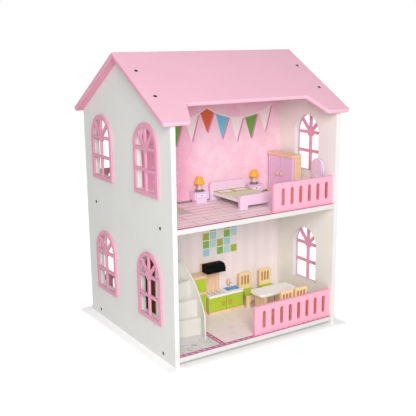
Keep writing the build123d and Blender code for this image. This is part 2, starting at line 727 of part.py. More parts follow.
with BuildPart() as vanity_mirror:
    with BuildSketch(vanity_plane):
        with Locations((0, VANITY_HEIGHT + MIRROR_LIFT + MIRROR_HEIGHT / 2)):
            Ellipse(MIRROR_WIDTH / 2, MIRROR_HEIGHT / 2)
        with Locations((0, VANITY_HEIGHT)):
            Rectangle(MIRROR_NECK, MIRROR_LIFT + MIRROR_HEIGHT / 4, align=(Align.CENTER, Align.MIN))
    extrude(amount=MIRROR_PLATE)
save(vanity_mirror.part, "vanity_mirror")

# Kitchen counter with a hob and a sink
counter_plane = upright(COUNTER_LEFT + COUNTER_WIDTH / 2, ROOM_BACK - WALL_CLEAR, BASE_TOP)
counter_low = BASE_TOP + COUNTER_PLINTH
counter_high = BASE_TOP + COUNTER_HEIGHT - WORKTOP
counter_pins = pins(
    pin_places(counter_plane, COUNTER_WIDTH, COUNTER_DEPTH, (-1, 1)),
    counter_low - PIN_HOLD,
    counter_high + PIN_HOLD,
)
save(counter_pins, "counter_hinge_pins")
counter_front = COUNTER_DEPTH - LIP - DOOR - PLAY
with BuildPart() as counter_body:
    with BuildSketch(counter_plane):
        Rectangle(COUNTER_WIDTH, COUNTER_HEIGHT - WORKTOP, align=(Align.CENTER, Align.MIN))
    extrude(amount=counter_front)
    with BuildSketch(counter_plane.offset(CARCASS)):
        with Locations((0, COUNTER_PLINTH)):
            Rectangle(
                COUNTER_WIDTH - 2 * CARCASS,
                COUNTER_HEIGHT - WORKTOP - COUNTER_PLINTH,
                align=(Align.CENTER, Align.MIN),
            )
    extrude(amount=counter_front - CARCASS, mode=Mode.SUBTRACT)
    with BuildSketch(counter_plane.offset(counter_front)):
        Rectangle(COUNTER_WIDTH, COUNTER_PLINTH, align=(Align.CENTER, Align.MIN))
    extrude(amount=COUNTER_DEPTH - counter_front)
    add(counter_pins, mode=Mode.SUBTRACT)
save(counter_body.part, "counter_body")

with BuildPart() as counter_worktop:
    with BuildSketch(level(counter_plane.origin.X, counter_plane.origin.Y - COUNTER_DEPTH / 2, counter_high)):
        Rectangle(COUNTER_WIDTH, COUNTER_DEPTH)
    extrude(amount=WORKTOP)
    fillet(counter_worktop.edges().filter_by(Axis.Z).group_by(Axis.Y)[0], TOP_ROUND)
    add(counter_pins, mode=Mode.SUBTRACT)
save(counter_worktop.part, "counter_worktop")

counter_leaf = COUNTER_WIDTH / 2 - LEAF_GAP / 2
counter_leaf_high = counter_high - counter_low - 2 * PLAY
for leaf_name, hinge in (("left", -1), ("right", 1)):
    leaf_plane = upright(
        counter_plane.origin.X + hinge * (COUNTER_WIDTH - counter_leaf) / 2,
        counter_plane.origin.Y - (COUNTER_DEPTH - LIP - DOOR),
        (counter_low + counter_high) / 2,
    )
    save(door(leaf_plane, counter_leaf, counter_leaf_high, hinge), f"counter_{leaf_name}_door")
    knob_x = -hinge * (counter_leaf / 2 - COUNTER_KNOB_INSET)
    save(knob(leaf_plane.offset(DOOR), knob_x, 0), f"counter_{leaf_name}_knob")

tap_x = COUNTER_LEFT + COUNTER_WIDTH - TAP_FROM_END
tap_y = counter_plane.origin.Y - 3 / 2 * TAP_RADIUS
with BuildPart() as counter_tap:
    with BuildSketch(level(tap_x, tap_y, counter_high + WORKTOP)):
        Circle(TAP_STEM)
    extrude(amount=TAP_LIFT)
    with BuildSketch(level(tap_x, tap_y, counter_high + WORKTOP + TAP_LIFT)):
        Circle(TAP_RADIUS)
    extrude(amount=TAP_HIGH - TAP_LIFT)
    chamfer(counter_tap.edges().group_by(Axis.Z)[-1], TAP_RADIUS / 3)
    with BuildSketch(upright(tap_x, tap_y, counter_high + WORKTOP + (TAP_LIFT + TAP_HIGH) / 2)):
        Circle(SPOUT_RADIUS)
    extrude(amount=SPOUT_REACH)
save(counter_tap.part, "counter_tap")

hood_x = COUNTER_LEFT + HOOD_BOARD_WIDTH / 2 - CUPBOARD_GAP / 2
hood_plane = upright(hood_x, counter_plane.origin.Y, counter_high + WORKTOP)
with BuildPart() as cooker_backboard:
    with BuildSketch(hood_plane):
        Rectangle(HOOD_BOARD_WIDTH, HOOD_BOARD_HIGH, align=(Align.CENTER, Align.MIN))
    extrude(amount=HOOD_BOARD)
save(cooker_backboard.part, "cooker_backboard")

with BuildPart() as cooker_hood:
    with BuildSketch(hood_plane.offset(HOOD_BOARD)):
        with Locations((HOOD_BOARD_WIDTH / 2 + HOOD_RIGHT, HOOD_BOARD_HIGH)):
            Rectangle(HOOD_WIDTH, HOOD_HIGH, align=(Align.MAX, Align.MAX))
    extrude(amount=HOOD_DEPTH)
    front_edges = cooker_hood.faces().sort_by(Axis.Y)[0].edges().filter_by(Axis.X)
    fillet(front_edges.sort_by(Axis.Z)[-1], HOOD_ROUND)
save(cooker_hood.part, "cooker_hood")

# Tall cupboard beside the counter
cupboard_right = COUNTER_LEFT - CUPBOARD_GAP
cupboard_plane = upright(cupboard_right - CUPBOARD_WIDTH / 2, ROOM_BACK - WALL_CLEAR, BASE_TOP)
cupboard_low = BASE_TOP + CUPBOARD_PLINTH
cupboard_high = BASE_TOP + CUPBOARD_HEIGHT - CUPBOARD_TOP
cupboard_shelf = cupboard_high - CUPBOARD_UPPER - CUPBOARD_RAIL / 2
cupboard_pins = pins(
    pin_places(cupboard_plane, CUPBOARD_WIDTH, CUPBOARD_DEPTH, (-1,)),
    cupboard_low - PIN_HOLD,
    cupboard_high + PIN_HOLD,
)
save(cupboard_pins, "cupboard_hinge_pin")
cupboard_carcass = carcass(
    cupboard_plane,
    CUPBOARD_WIDTH,
    CUPBOARD_DEPTH,
    CUPBOARD_HEIGHT,
    CUPBOARD_PLINTH,
    CUPBOARD_TOP,
    cupboard_shelf - BASE_TOP,
    cupboard_pins,
)
with BuildPart() as cupboard_body:
    add(cupboard_carcass)
    with BuildSketch(cupboard_plane.offset(CUPBOARD_DEPTH - LIP)):
        with Locations((0, cupboard_shelf - BASE_TOP)):
            Rectangle(CUPBOARD_WIDTH, CUPBOARD_RAIL)
    extrude(amount=-DOOR - PLAY)
    add(cupboard_pins, mode=Mode.SUBTRACT)
save(cupboard_body.part, "cupboard_body")
for leaf_name, low, high in (
    ("lower", cupboard_low, cupboard_shelf - CUPBOARD_RAIL / 2),
    ("upper", cupboard_shelf + CUPBOARD_RAIL / 2, cupboard_high),
):
    leaf_plane = upright(
        cupboard_plane.origin.X,
        cupboard_plane.origin.Y - (CUPBOARD_DEPTH - LIP - DOOR),
        (low + high) / 2,
    )
    save(door(leaf_plane, CUPBOARD_WIDTH, high - low - 2 * PLAY, -1), f"cupboard_{leaf_name}_door")

# Dining table
with BuildPart() as table_top:
    with BuildSketch(level(TABLE_X, TABLE_Y, BASE_TOP + TABLE_HEIGHT - TABLE_TOP)):
        RectangleRounded(TABLE_LENGTH, TABLE_WIDTH, TABLE_ROUND)
    extrude(amount=TABLE_TOP)
    chamfer(table_top.faces().sort_by(Axis.Z)[-1].edges(), PLATE_EDGE)
save(table_top.part, "table_top")

with BuildPart() as table_legs:
    for end in (-1, 1):
        leg_x = TABLE_X + end * (TABLE_LENGTH / 2 - TABLE_LEG_INSET)
        with BuildSketch(Plane.YZ.offset(leg_x)):
            with Locations((TABLE_Y, BASE_TOP)):
                Rectangle(TABLE_LEG_WIDTH, TABLE_HEIGHT - TABLE_TOP, align=(Align.CENTER, Align.MIN))
                Circle(TABLE_ARCH, mode=Mode.SUBTRACT)
        extrude(amount=TABLE_LEG / 2, both=True)
save(table_legs.part, "table_legs")


# Chairs: an arched back board with slots, an arched front board and a seat between
def chair(x, back_y, facing):
    """Chair whose back stands at a given depth, with its seat on the side that it faces."""
    def board(offset):
        return Plane(
            origin=(x, back_y + facing * offset, BASE_TOP), x_dir=(-facing, 0, 0), z_dir=(0, facing, 0)
        )

    with BuildPart() as seat_group:
        with BuildSketch(board(0)) as back:
            Rectangle(CHAIR_WIDTH, CHAIR_HEIGHT, align=(Align.CENTER, Align.MIN))
            fillet(back.vertices().group_by(Axis.Y)[-1], CHAIR_ROUND)
            SlotOverall(2 * CHAIR_ARCH_HIGH, CHAIR_ARCH_WIDTH, rotation=90, mode=Mode.SUBTRACT)
            with Locations((0, CHAIR_HEIGHT - CHAIR_HEAD - CHAIR_SLOT_HIGH / 2)):
                with GridLocations(CHAIR_WIDTH / 4, 1, 3, 1):
                    SlotOverall(CHAIR_SLOT_HIGH, CHAIR_SLOT, rotation=90, mode=Mode.SUBTRACT)
        extrude(amount=CHAIR_BOARD)
        with BuildSketch(board(CHAIR_DEPTH - CHAIR_BOARD)):
            Rectangle(CHAIR_WIDTH, SEAT_HEIGHT - SEAT_BOARD, align=(Align.CENTER, Align.MIN))
            SlotOverall(2 * CHAIR_ARCH_HIGH, CHAIR_ARCH_WIDTH, rotation=90, mode=Mode.SUBTRACT)
        extrude(amount=CHAIR_BOARD)
    frame = seat_group.part
    with BuildPart() as seat:
        with BuildSketch(board(CHAIR_BOARD)):
            with Locations((0, SEAT_HEIGHT)):
                Rectangle(CHAIR_WIDTH, SEAT_BOARD, align=(Align.CENTER, Align.MAX))
        extrude(amount=CHAIR_DEPTH - CHAIR_BOARD)
    return Compound(children=[*frame.solids(), seat.part.solid()])


rear_back = ROOM_BACK - REAR_CHAIR_GAP
front_back = FRONT + FRONT_CHAIR_GAP
for place, rear_x, front_x in (
    ("left", FIRST_CHAIR, TABLE_X - FRONT_CHAIR_PITCH / 2),
    ("right", FIRST_CHAIR + REAR_CHAIR_PITCH, TABLE_X + FRONT_CHAIR_PITCH / 2),
):
    save(chair(rear_x, rear_back, -1), f"rear_{place}_chair")
    save(chair(front_x, front_back, 1), f"front_{place}_chair")
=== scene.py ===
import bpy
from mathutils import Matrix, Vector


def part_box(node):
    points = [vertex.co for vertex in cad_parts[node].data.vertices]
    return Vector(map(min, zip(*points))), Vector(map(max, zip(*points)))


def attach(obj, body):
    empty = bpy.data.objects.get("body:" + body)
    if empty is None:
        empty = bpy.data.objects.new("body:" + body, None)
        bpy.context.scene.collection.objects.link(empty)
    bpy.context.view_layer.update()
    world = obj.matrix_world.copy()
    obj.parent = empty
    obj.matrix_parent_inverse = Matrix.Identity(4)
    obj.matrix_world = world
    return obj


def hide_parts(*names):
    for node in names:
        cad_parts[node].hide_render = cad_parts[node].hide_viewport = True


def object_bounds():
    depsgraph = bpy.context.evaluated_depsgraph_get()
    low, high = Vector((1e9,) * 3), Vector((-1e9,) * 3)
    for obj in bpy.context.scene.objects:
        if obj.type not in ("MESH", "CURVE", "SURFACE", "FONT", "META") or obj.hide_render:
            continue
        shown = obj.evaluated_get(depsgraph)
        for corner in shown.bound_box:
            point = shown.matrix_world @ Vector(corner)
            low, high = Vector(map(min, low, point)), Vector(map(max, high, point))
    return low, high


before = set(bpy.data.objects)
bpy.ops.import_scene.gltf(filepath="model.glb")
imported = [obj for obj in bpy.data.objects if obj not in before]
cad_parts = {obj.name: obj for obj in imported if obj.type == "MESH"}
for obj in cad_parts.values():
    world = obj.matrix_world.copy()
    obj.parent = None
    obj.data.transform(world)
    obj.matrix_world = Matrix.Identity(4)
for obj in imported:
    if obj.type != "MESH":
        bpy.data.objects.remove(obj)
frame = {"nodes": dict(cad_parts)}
CAD_BOX = [list(corner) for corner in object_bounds()]

from math import cos, pi, radians, sin

import bmesh
import bpy
from mathutils import Matrix, Vector

bl_info = {
    "name": "Wooden Dollhouse",
    "version": (1, 0, 0),
    "blender": (4, 5, 0),
    "location": "View3D > Sidebar > Dollhouse",
    "description": "Finishes a two-storey wooden dollhouse, its prints and its painted furniture",
    "category": "Object",
}

MM = 0.001
# Numbers of the axes
X, Y, Z = 0, 1, 2
# Sockets of a colour mix: its two colours and its result
MIX_UNDER, MIX_OVER, MIX_RESULT = 6, 7, 2
# Stair: number of treads, then in degrees the place of its first riser, the turn of its first tread
# and what each next tread gains
STAIR_TREADS, FIRST_RISER, FIRST_TREAD, TREAD_GROWTH = 6, -9.0, 9.8, 2.68


def linear(code):
    """Linear colour, with alpha, of an sRGB hex code."""
    parts = [int(code[i : i + 2], 16) / 255 for i in (1, 3, 5)]
    return tuple(c / 12.92 if c <= 0.04045 else ((c + 0.055) / 1.055) ** 2.4 for c in parts) + (1.0,)


def colour(label, text, code):
    """Colour setting with a default given as an sRGB hex code."""
    return bpy.props.FloatVectorProperty(
        name=label, description=text, subtype="COLOR", size=4, min=0.0, max=1.0, default=linear(code)
    )


def length(label, text, millimetres):
    """Length setting with a default given in millimetres."""
    return bpy.props.FloatProperty(
        name=label, description=text, unit="LENGTH", min=0.0, precision=5, default=millimetres * MM
    )


class DollhouseColours(bpy.types.PropertyGroup):
    """Colours of the paints, prints and bare materials."""

    wall: colour("Wall", "White lacquer of the walls' outsides and edges", "#E9E9E6")
    # Painted light: the insides' lighter, warmer white stands in for the light bounced round the rooms
    inside: colour("Wall insides", "Warmer white lacquer inside the rooms", "#F6F1EB")
    edging: colour("Floor edges", "White lacquer of the floors' cut edges", "#DFDDDA")
    roof: colour("Roof", "Pink lacquer of the roof", "#F7C0D3")
    # Painted shade: this deeper pink stands in for the shade on the roof's gable edges and underside
    roof_painted_shade: colour("Roof edges", "Deeper pink of the roof's underside and gable edges", "#E69BB4")
    railing: colour("Railing", "Pink lacquer of the railings", "#F9B3C8")
    frame: colour("Window frame", "Deeper pink lacquer of the window frames", "#EAA1BB")
    stair: colour("Stair", "Cream lacquer of the stair", "#E0DED7")
    lilac: colour("Lilac", "Paint of the bed, nightstands and vanity", "#EFD3E9")
    wardrobe: colour("Wardrobe doors", "Paint of the wardrobe doors", "#EEC6E2")
    lime: colour("Lime", "Paint of the kitchen doors and seats", "#B5D137")
    ivory: colour("Ivory", "Paint of the table, worktop and vanity top", "#FFFCF8")
    black: colour("Black", "Paint of the cooker hood", "#070707")
    beech: colour("Beech", "Varnished beech between its grain lines", "#F5D3B2")
    beech_line: colour("Beech grain", "Grain lines of the beech", "#E5B98D")
    knob: colour("Counter knobs", "Stained beech of the counter's knobs between its grain lines", "#D8A260")
    knob_line: colour("Counter knob grain", "Grain lines of the counter's knobs", "#C28A47")
    seat_wood: colour("Chair wood", "Varnished wood of the chairs between its grain lines", "#FFE6B6")
    seat_line: colour("Chair grain", "Grain lines of the chair wood", "#FFD896")
    # The chairs' side faces get this deeper tone: partly their cut edges, partly painted shade on the
    # chairs' sides
    seat_edge_and_shade: colour("Chair edges", "Cut edges of the chair boards", "#EAB77E")
    # Painted shade: the slot walls are painted this darker tan so that the slots show dark
    seat_slot_shade: colour("Chair slots", "Scorched walls of the chair slots", "#DDA164")
    fibre: colour("Raw fibreboard", "Bare fibreboard under the stair", "#9C6A50")
    slot: colour("Slot walls", "Stained fibreboard inside the railing slots", "#E67D83")
    paper_rose: colour("Bedroom paper", "Ground of the bedroom wallpaper", "#F8D5E3")
    paper_dot: colour("Paper dots", "Small dots of the bedroom wallpaper", "#FADBE7")
    paper_pale: colour("Kitchen paper", "Ground of the kitchen wallpaper", "#FCF2F1")
    plank: colour("Planks", "Printed floorboards of the bedroom", "#FFF0F2")
    plank_line: colour("Plank joints", "Joints of the printed floorboards", "#A86C80")
    floor_rose: colour("Rose marble", "Printed marble of the kitchen floor", "#FFF3F3")
    floor_grey: colour("Grey marble", "Printed marble of the hall floor", "#D8D6D4")
    border: colour("Border", "Stripes along the floors' open edges and beside the hall", "#BE4E8C")
    sky: colour("Sky blue", "Blue of the printed pennants and tiles", "#6FC4DC")
    leaf: colour("Leaf green", "Green of the printed pennants and tiles", "#6FA845")
    terracotta: colour("Terracotta", "Warm red of the printed pennants", "#D9633B")
    linen: colour("Linen", "Off-white of the printed pennants, tiles and pillows", "#F4EFEA")
    olive: colour("Olive", "Olive of the printed tiles and quilt", "#B3BE46")
    quilt: colour("Quilt", "Ground of the printed quilt", "#E0EFC8")
    sink: colour("Sink", "Blue of the printed sink", "#2A98DC")
    hob: colour("Hob rings", "Printed rings of the hob", "#5A5A5E")
    drawer: colour("Drawer print", "Printed outline of the nightstand drawers", "#9A78AE")
    shade: colour("Lamp shade", "Paint of the lamp shades", "#FFB422")
    lamp_foot: colour("Lamp foot", "Paint of the lamp feet", "#77777C")
    mirror: colour("Mirror", "Tint of the mirror's silvered sheet", "#F0E4EE")
    screw: colour("Screw", "Blackened steel of the screws", "#3A3A3C")
    pin: colour("Pin", "Drawn steel of the hinge pins", "#B9B9BC")
    ground: colour("Ground", "Studio ground", "#FFFFFF")


class DollhouseSizes(bpy.types.PropertyGroup):
    """Real sizes of the patterns, edges and turned forms."""

    peel: length("Orange peel", "Spacing of the ripples in sprayed lacquer", 1.6)
    edge: length("Edge", "Softening of painted and sanded edges", 1.0)
    grain: length("Grain", "Spacing of the grain lines in beech, drawn coarse enough to show", 2.6)
    grain_run: length("Grain run", "Length over which a grain line holds", 60.0)
    dots: length("Paper dots", "Spacing of the dots on the bedroom wallpaper", 24.0)
    dot: length("Dot", "Radius of those dots", 2.2)
    plank_width: length("Plank width", "Width of a printed floorboard", 26.0)
    plank_run: length("Plank length", "Length of a printed floorboard", 118.0)
    border: length("Border", "Width of the stripe along the bedroom floor's open edges", 9.0)
    rim: length("Rim", "Width of the dashed stripes of the kitchen floor", 13.0)
    hall: length("Hall edge", "Distance of the hall stripe from the left wall", 133.0)
    pennant: length("Pennant", "Spacing of the printed pennants", 46.0)
    pennant_drop: length("Pennant drop", "Length of a printed pennant", 62.0)
    swag: length("Swag", "Span of one string of pennants", 207.0)
    sag: length("Sag", "Sag of a string of pennants", 30.0)
    tile: length("Tile", "Pitch of the printed kitchen tiles", 22.0)
    stripe: length("Paper stripes", "Pitch of the stripes on the kitchen wallpaper", 36.0)
    dash: length("Floor dashes", "Pitch of the dashes in the kitchen floor's stripes", 16.0)
    lattice: length("Quilt lattice", "Pitch of the lattice on the printed quilt", 15.0)
    hob: length("Hob rings", "Pitch of the printed hob rings", 15.0)
    contact: length("Contact shade", "Width of the shade that the ground keeps round the house", 30.0)
    flutes: bpy.props.IntProperty(name="Flutes", description="Flutes round a lamp shade", min=3, default=10)


def node(tree, kind, inputs=None, out=0, **settings):
    """Adds one node with its settings and links, and returns one of its outputs.

    Sockets that share a name, such as those of a sum, are given by their number.
    """
    made = tree.nodes.new(kind)
    for name, value in settings.items():
        setattr(made, name, value)
    for key, value in (inputs or {}).items():
        if isinstance(value, bpy.types.NodeSocket):
            tree.links.new(value, made.inputs[key])
        else:
            made.inputs[key].default_value = value
    return made.outputs[out]


def material(name):
    """New material with its tree, its shader and the place of a point on the house in metres."""
    made = bpy.data.materials.new(name)
    made.use_nodes = True
    tree = made.node_tree
    place = node(tree, "ShaderNodeTexCoord", out="Object")
    return made, tree, tree.nodes["Principled BSDF"], place


def colours():
    """Colour settings of the scene."""
    return bpy.context.scene.dollhouse_colours


def sizes():
    """Size settings of the scene."""
    return bpy.context.scene.dollhouse_sizes


def nodes_named(words):
    """Names of the CAD nodes that hold some words."""
    return [name for name in frame["nodes"] if words in name]


def axes(tree, place):
    """The three coordinates of a point."""
    split = node(tree, "ShaderNodeSeparateXYZ", {"Vector": place}).node
    return split.outputs[0], split.outputs[1], split.outputs[2]


def facing(tree, axis, sign):
    """Mask of the faces that look along an axis."""
    normal = axes(tree, node(tree, "ShaderNodeTexCoord", out="Normal"))[axis]
    return node(tree, "ShaderNodeMath", {0: normal, 1: float(sign), 2: 0.5}, operation="COMPARE")


def band(tree, value, low, high):
    """Mask of the points whose coordinate lies between two values."""
    return node(
        tree, "ShaderNodeMath", {0: value, 1: (low + high) / 2, 2: abs(high - low) / 2}, operation="COMPARE"
    )


def both(tree, *masks):
    """Mask of the points that lie in every one of some masks."""
    joined = masks[0]
    for mask in masks[1:]:
        joined = node(tree, "ShaderNodeMath", {0: joined, 1: mask}, operation="MULTIPLY")
    return joined


def painted(tree, under, mask, over):
    """Colour with another one laid over it where a mask says."""
    return node(
        tree, "ShaderNodeMix", {0: mask, MIX_UNDER: under, MIX_OVER: over}, MIX_RESULT, data_type="RGBA"
    )


def dashed(tree, along, pitch, share):
    """Mask of even dashes along a coordinate, each of which fills a share of the pitch."""
    step = node(tree, "ShaderNodeMath", {0: along, 1: pitch}, operation="DIVIDE")
    part = node(tree, "ShaderNodeMath", {0: step}, operation="FRACT")
    return node(tree, "ShaderNodeMath", {0: part, 1: share}, operation="LESS_THAN")


def mottle(tree, place, size, detail, span, values):
    """Number that wavers in blotches of one size: a span of the noise goes from one value to another."""
    noise = node(tree, "ShaderNodeTexNoise", {"Vector": place, "Scale": 1 / size, "Detail": detail})
    return node(
        tree,
        "ShaderNodeMapRange",
        {"Value": noise, "From Min": span[0], "From Max": span[1], "To Min": values[0], "To Max": values[1]},
    )


def sideways(tree, axis):
    """Mask of the faces that look across an axis and not along it."""
    normal = axes(tree, node(tree, "ShaderNodeTexCoord", out="Normal"))[axis]
    along = node(tree, "ShaderNodeMath", {0: normal}, operation="ABSOLUTE")
    return node(tree, "ShaderNodeMath", {0: along, 1: 0.3}, operation="LESS_THAN")


def palette(tree, value, choices):
    """One of several colours, chosen by the whole part of a number."""
    turn = node(tree, "ShaderNodeMath", {0: value, 1: 1.0 / len(choices)}, operation="MULTIPLY")
    wrap = node(tree, "ShaderNodeMath", {0: turn}, operation="FRACT")
    ramp = node(tree, "ShaderNodeValToRGB", {"Fac": wrap}).node
    ramp.color_ramp.interpolation = "CONSTANT"
    stops = ramp.color_ramp.elements
    while len(stops) < len(choices):
        stops.new(1.0)
    # Each colour starts a little early, so that rounding never picks the one before it
    slack = 0.02
    for i, choice in enumerate(choices):
        stops[i].position = max(0.0, (i - slack) / len(choices))
        stops[i].color = choice
    return ramp.outputs[0]


def lacquer(tree, shader, place, ground, roughness, peel=0.06):
    """Sprayed paint: a slow drift of tone, faint orange peel, softened edges and a thin gloss."""
    size = sizes()
    tone = mottle(tree, place, size=70 * MM, detail=3.0, span=(0.3, 0.7), values=(0.965, 1.0))
    toned = node(
        tree,
        "ShaderNodeMix",
        {0: 1.0, MIX_UNDER: ground, MIX_OVER: tone},
        MIX_RESULT,
        data_type="RGBA",
        blend_type="MULTIPLY",
    )
    ripple = node(tree, "ShaderNodeTexNoise", {"Vector": place, "Scale": 1 / size.peel, "Detail": 1.0})
    soft = node(tree, "ShaderNodeBevel", {"Radius": size.edge}, samples=4)
    bump = node(
        tree, "ShaderNodeBump", {"Strength": peel, "Distance": 0.3 * MM, "Height": ripple, "Normal": soft}
    )
    smooth, dull = roughness - 0.04, roughness + 0.05
    rough = node(
        tree,
        "ShaderNodeMapRange",
        {"Value": ripple, "From Min": 0.3, "From Max": 0.7, "To Min": smooth, "To Max": dull},
    )
    tree.links.new(toned, shader.inputs["Base Color"])
    tree.links.new(rough, shader.inputs["Roughness"])
    tree.links.new(bump, shader.inputs["Normal"])
    shader.inputs["IOR"].default_value = 1.5


def lacquered_board(name, ground, roughness=0.42):
    """Fibreboard under sprayed lacquer: even and satin, with edges that catch the light."""
    made, tree, shader, place = material(name)
    lacquer(tree, shader, place, ground, roughness)
    return made


def wood_grain(tree, place, run, pale, line):
    """Straight-grained wood: long pale and tan lines, and short dark flecks along the grain."""
    size = sizes()
    across = [1 / size.grain] * 3
    across[run] = 1 / size.grain_run
    stretched = node(tree, "ShaderNodeMapping", {"Vector": place, "Scale": across})
    lines = node(
        tree,
        "ShaderNodeTexNoise",
        {"Vector": stretched, "Scale": 1.0, "Detail": 3.0, "Distortion": 0.4},
    )
    fleck_wide, fleck_long = 0.9 * MM, 5 * MM
    fleck_scale = [1 / fleck_wide] * 3
    fleck_scale[run] = 1 / fleck_long
    fleck_place = node(tree, "ShaderNodeMapping", {"Vector": place, "Scale": fleck_scale})
    fleck_mask = mottle(tree, fleck_place, size=1.0, detail=1.0, span=(0.66, 0.74), values=(0.0, 0.35))
    line_mask = node(
        tree,
        "ShaderNodeMapRange",
        {"Value": lines, "From Min": 0.42, "From Max": 0.72, "To Min": 0.0, "To Max": 0.75},
    )
    grained = painted(tree, pale, line_mask, line)
    return painted(tree, grained, fleck_mask, linear("#B57F4C"))


def beech_wood(name, run, pale=None, line=None):
    """Varnished beech with its grain along one axis, in its own or in other tones."""
    tint = colours()
    made, tree, shader, place = material(name)
    grain = wood_grain(tree, place, run, pale or tint.beech, line or tint.beech_line)
    lacquer(tree, shader, place, grain, roughness=0.38, peel=0.03)
    return made


def bare_fibre(tree, place, ground, fleck):
    """Cut fibreboard: a felted mix of two tones with no grain."""
    fuzz = mottle(tree, place, size=1.2 * MM, detail=3.0, span=(0.35, 0.65), values=(0.0, 0.5))
    return painted(tree, ground, fuzz, fleck)


def steel(name, ground, roughness):
    """Drawn or blackened steel: a metal with fine turning marks."""
    made, tree, shader, place = material(name)
    spread = (roughness - 0.08, roughness + 0.08)
    marks = mottle(tree, place, size=0.4 * MM, detail=2.0, span=(0.3, 0.7), values=spread)
    tree.links.new(marks, shader.inputs["Roughness"])
    shader.inputs["Base Color"].default_value = ground
    shader.inputs["Metallic"].default_value = 1.0
    return made


def finish(made, *names):
    """Gives CAD nodes a finished material."""
    for name in names:
        piece = frame["nodes"][name]
        if not piece.material_slots:
            piece.data.materials.append(made)
        for slot in piece.material_slots:
            slot.material = made


def mesh_piece(name, builder, body, slot, *made):
    """New piece from a bmesh, with its materials, that rides on a body."""
    mesh = bpy.data.meshes.new(name)
    builder.normal_update()
    builder.to_mesh(mesh)
    builder.free()
    for one in made:
        mesh.materials.append(one)
    piece = bpy.data.objects.new(name, mesh)
    bpy.context.scene.collection.objects.link(piece)
    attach(piece, body)
    return piece


def turned(build, place, profile, count, flutes=0):
    """Adds a turned solid about the upright axis of a placing matrix.

    Each row of the profile holds a height, a radius and a flute depth in millimetres,
    and the finish of the step below it.
    """
    rings = []
    for height, radius, depth, _ in profile:
        ring = []
        for i in range(count):
            turn = 2 * pi * i / count
            reach = radius + depth * cos(flutes * turn)
            spot = Vector((reach * cos(turn), reach * sin(turn), height)) * MM
            ring.append(build.verts.new(place @ spot))
        rings.append(ring)
    for lower, upper, row in zip(rings, rings[1:], profile[1:]):
        for i in range(count):
            j = (i + 1) % count
            face = build.faces.new((lower[i], lower[j], upper[j], upper[i]))
            face.material_index = row[3]
            face.smooth = True
    build.faces.new(list(reversed(rings[0]))).material_index = profile[1][3]
    build.faces.new(rings[-1]).material_index = profile[-1][3]


def turned_knob(door, outward, made):
    """Turned knob in place of the plain one, seated on its door and pointing outward."""
    low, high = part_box(door + "_knob")
    outward = Vector(outward)
    size = high - low
    seat = (low + high) / 2 - outward * abs(size.dot(outward)) / 2
    place = Matrix.Translation(seat) @ outward.to_track_quat("Z", "Y").to_matrix().to_4x4()
    # Height and radius from the door to the rounded head, in millimetres
    outline = (
        (0.0, 2.4), (0.8, 2.1), (1.5, 2.5), (2.0, 3.8), (2.7, 4.8), (3.7, 5.2),
        (4.7, 4.8), (5.5, 3.7), (5.9, 2.0), (6.0, 0.6),
    )
    build = bmesh.new()
    turned(build, place, [(height, radius, 0.0, 0) for height, radius in outline], count=40)
    piece = mesh_piece(door + "_turned_knob", build, door + "_leaf", "beech", made)
    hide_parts(door + "_knob")


class DOLLHOUSE_OT_shell(bpy.types.Operator):
    """Lacquers the walls and lays the prints on the partitions and floors"""

    bl_idname = "dollhouse.shell"
    bl_label = "Shell and Prints"

    def execute(self, context):
        finish(wall_paint("left_wall", 1), "left_wall")
        finish(wall_paint("right_wall", -1), "right_wall")
        finish(bedroom_paper(), "upper_partition")
        finish(kitchen_paper(), "lower_partition")
        finish(bedroom_floor(), "upper_floor")
        finish(kitchen_floor(), "base_panel")
        return {"FINISHED"}


def wall_paint(name, inward):
    """White lacquer on fibreboard, with painted light: a lighter, warmer white on the face that looks into
    the rooms.
    """
    tint = colours()
    made, tree, shader, place = material("white lacquered fibreboard " + name)
    # Painted light: the face that looks into the rooms gets a lighter, warmer white
    ground = painted(tree, tint.wall, facing(tree, X, inward), tint.inside)
    lacquer(tree, shader, place, ground, roughness=0.45)
    return made


def bunting(tree, x, z, start, height):
    """Masks of two swags of plain pennants and of their cord, and each pennant's count from the left."""
    size = sizes()
    along = node(tree, "ShaderNodeMath", {0: x, 1: start}, operation="SUBTRACT")
    span = node(tree, "ShaderNodeMath", {0: along, 1: size.swag}, operation="DIVIDE")
    part = node(tree, "ShaderNodeMath", {0: span}, operation="FRACT")
    from_middle = node(tree, "ShaderNodeMath", {0: part, 1: 0.5}, operation="SUBTRACT")
    square = node(tree, "ShaderNodeMath", {0: from_middle, 1: from_middle}, operation="MULTIPLY")
    string = node(tree, "ShaderNodeMath", {0: square, 1: 4 * size.sag, 2: height}, operation="MULTIPLY_ADD")
    drop = node(tree, "ShaderNodeMath", {0: string, 1: z}, operation="SUBTRACT")
    step = node(tree, "ShaderNodeMath", {0: along, 1: size.pennant}, operation="DIVIDE")
    within = node(tree, "ShaderNodeMath", {0: step}, operation="FRACT")
    off = node(tree, "ShaderNodeMath", {0: within, 1: 0.5}, operation="SUBTRACT")
    off = node(tree, "ShaderNodeMath", {0: off}, operation="ABSOLUTE")
    # Half of a pennant's width, as a share of the spacing, goes from its top to nothing at its tip
    top_half = 0.44
    taper = node(
        tree,
        "ShaderNodeMapRange",
        {"Value": drop, "From Min": 0.0, "From Max": size.pennant_drop, "To Min": top_half, "To Max": 0.0},
    )
    inside = node(tree, "ShaderNodeMath", {0: off, 1: taper}, operation="LESS_THAN")
    swags = band(tree, along, 0.0, 2 * size.swag)
    cloth = both(tree, inside, band(tree, drop, 0.0, size.pennant_drop), swags)
    cord_over, cord_under = 1.8 * MM, 1.4 * MM
    cord = both(tree, band(tree, drop, -cord_over, cord_under), swags)
    return cloth, cord, node(tree, "ShaderNodeMath", {0: step}, operation="FLOOR")


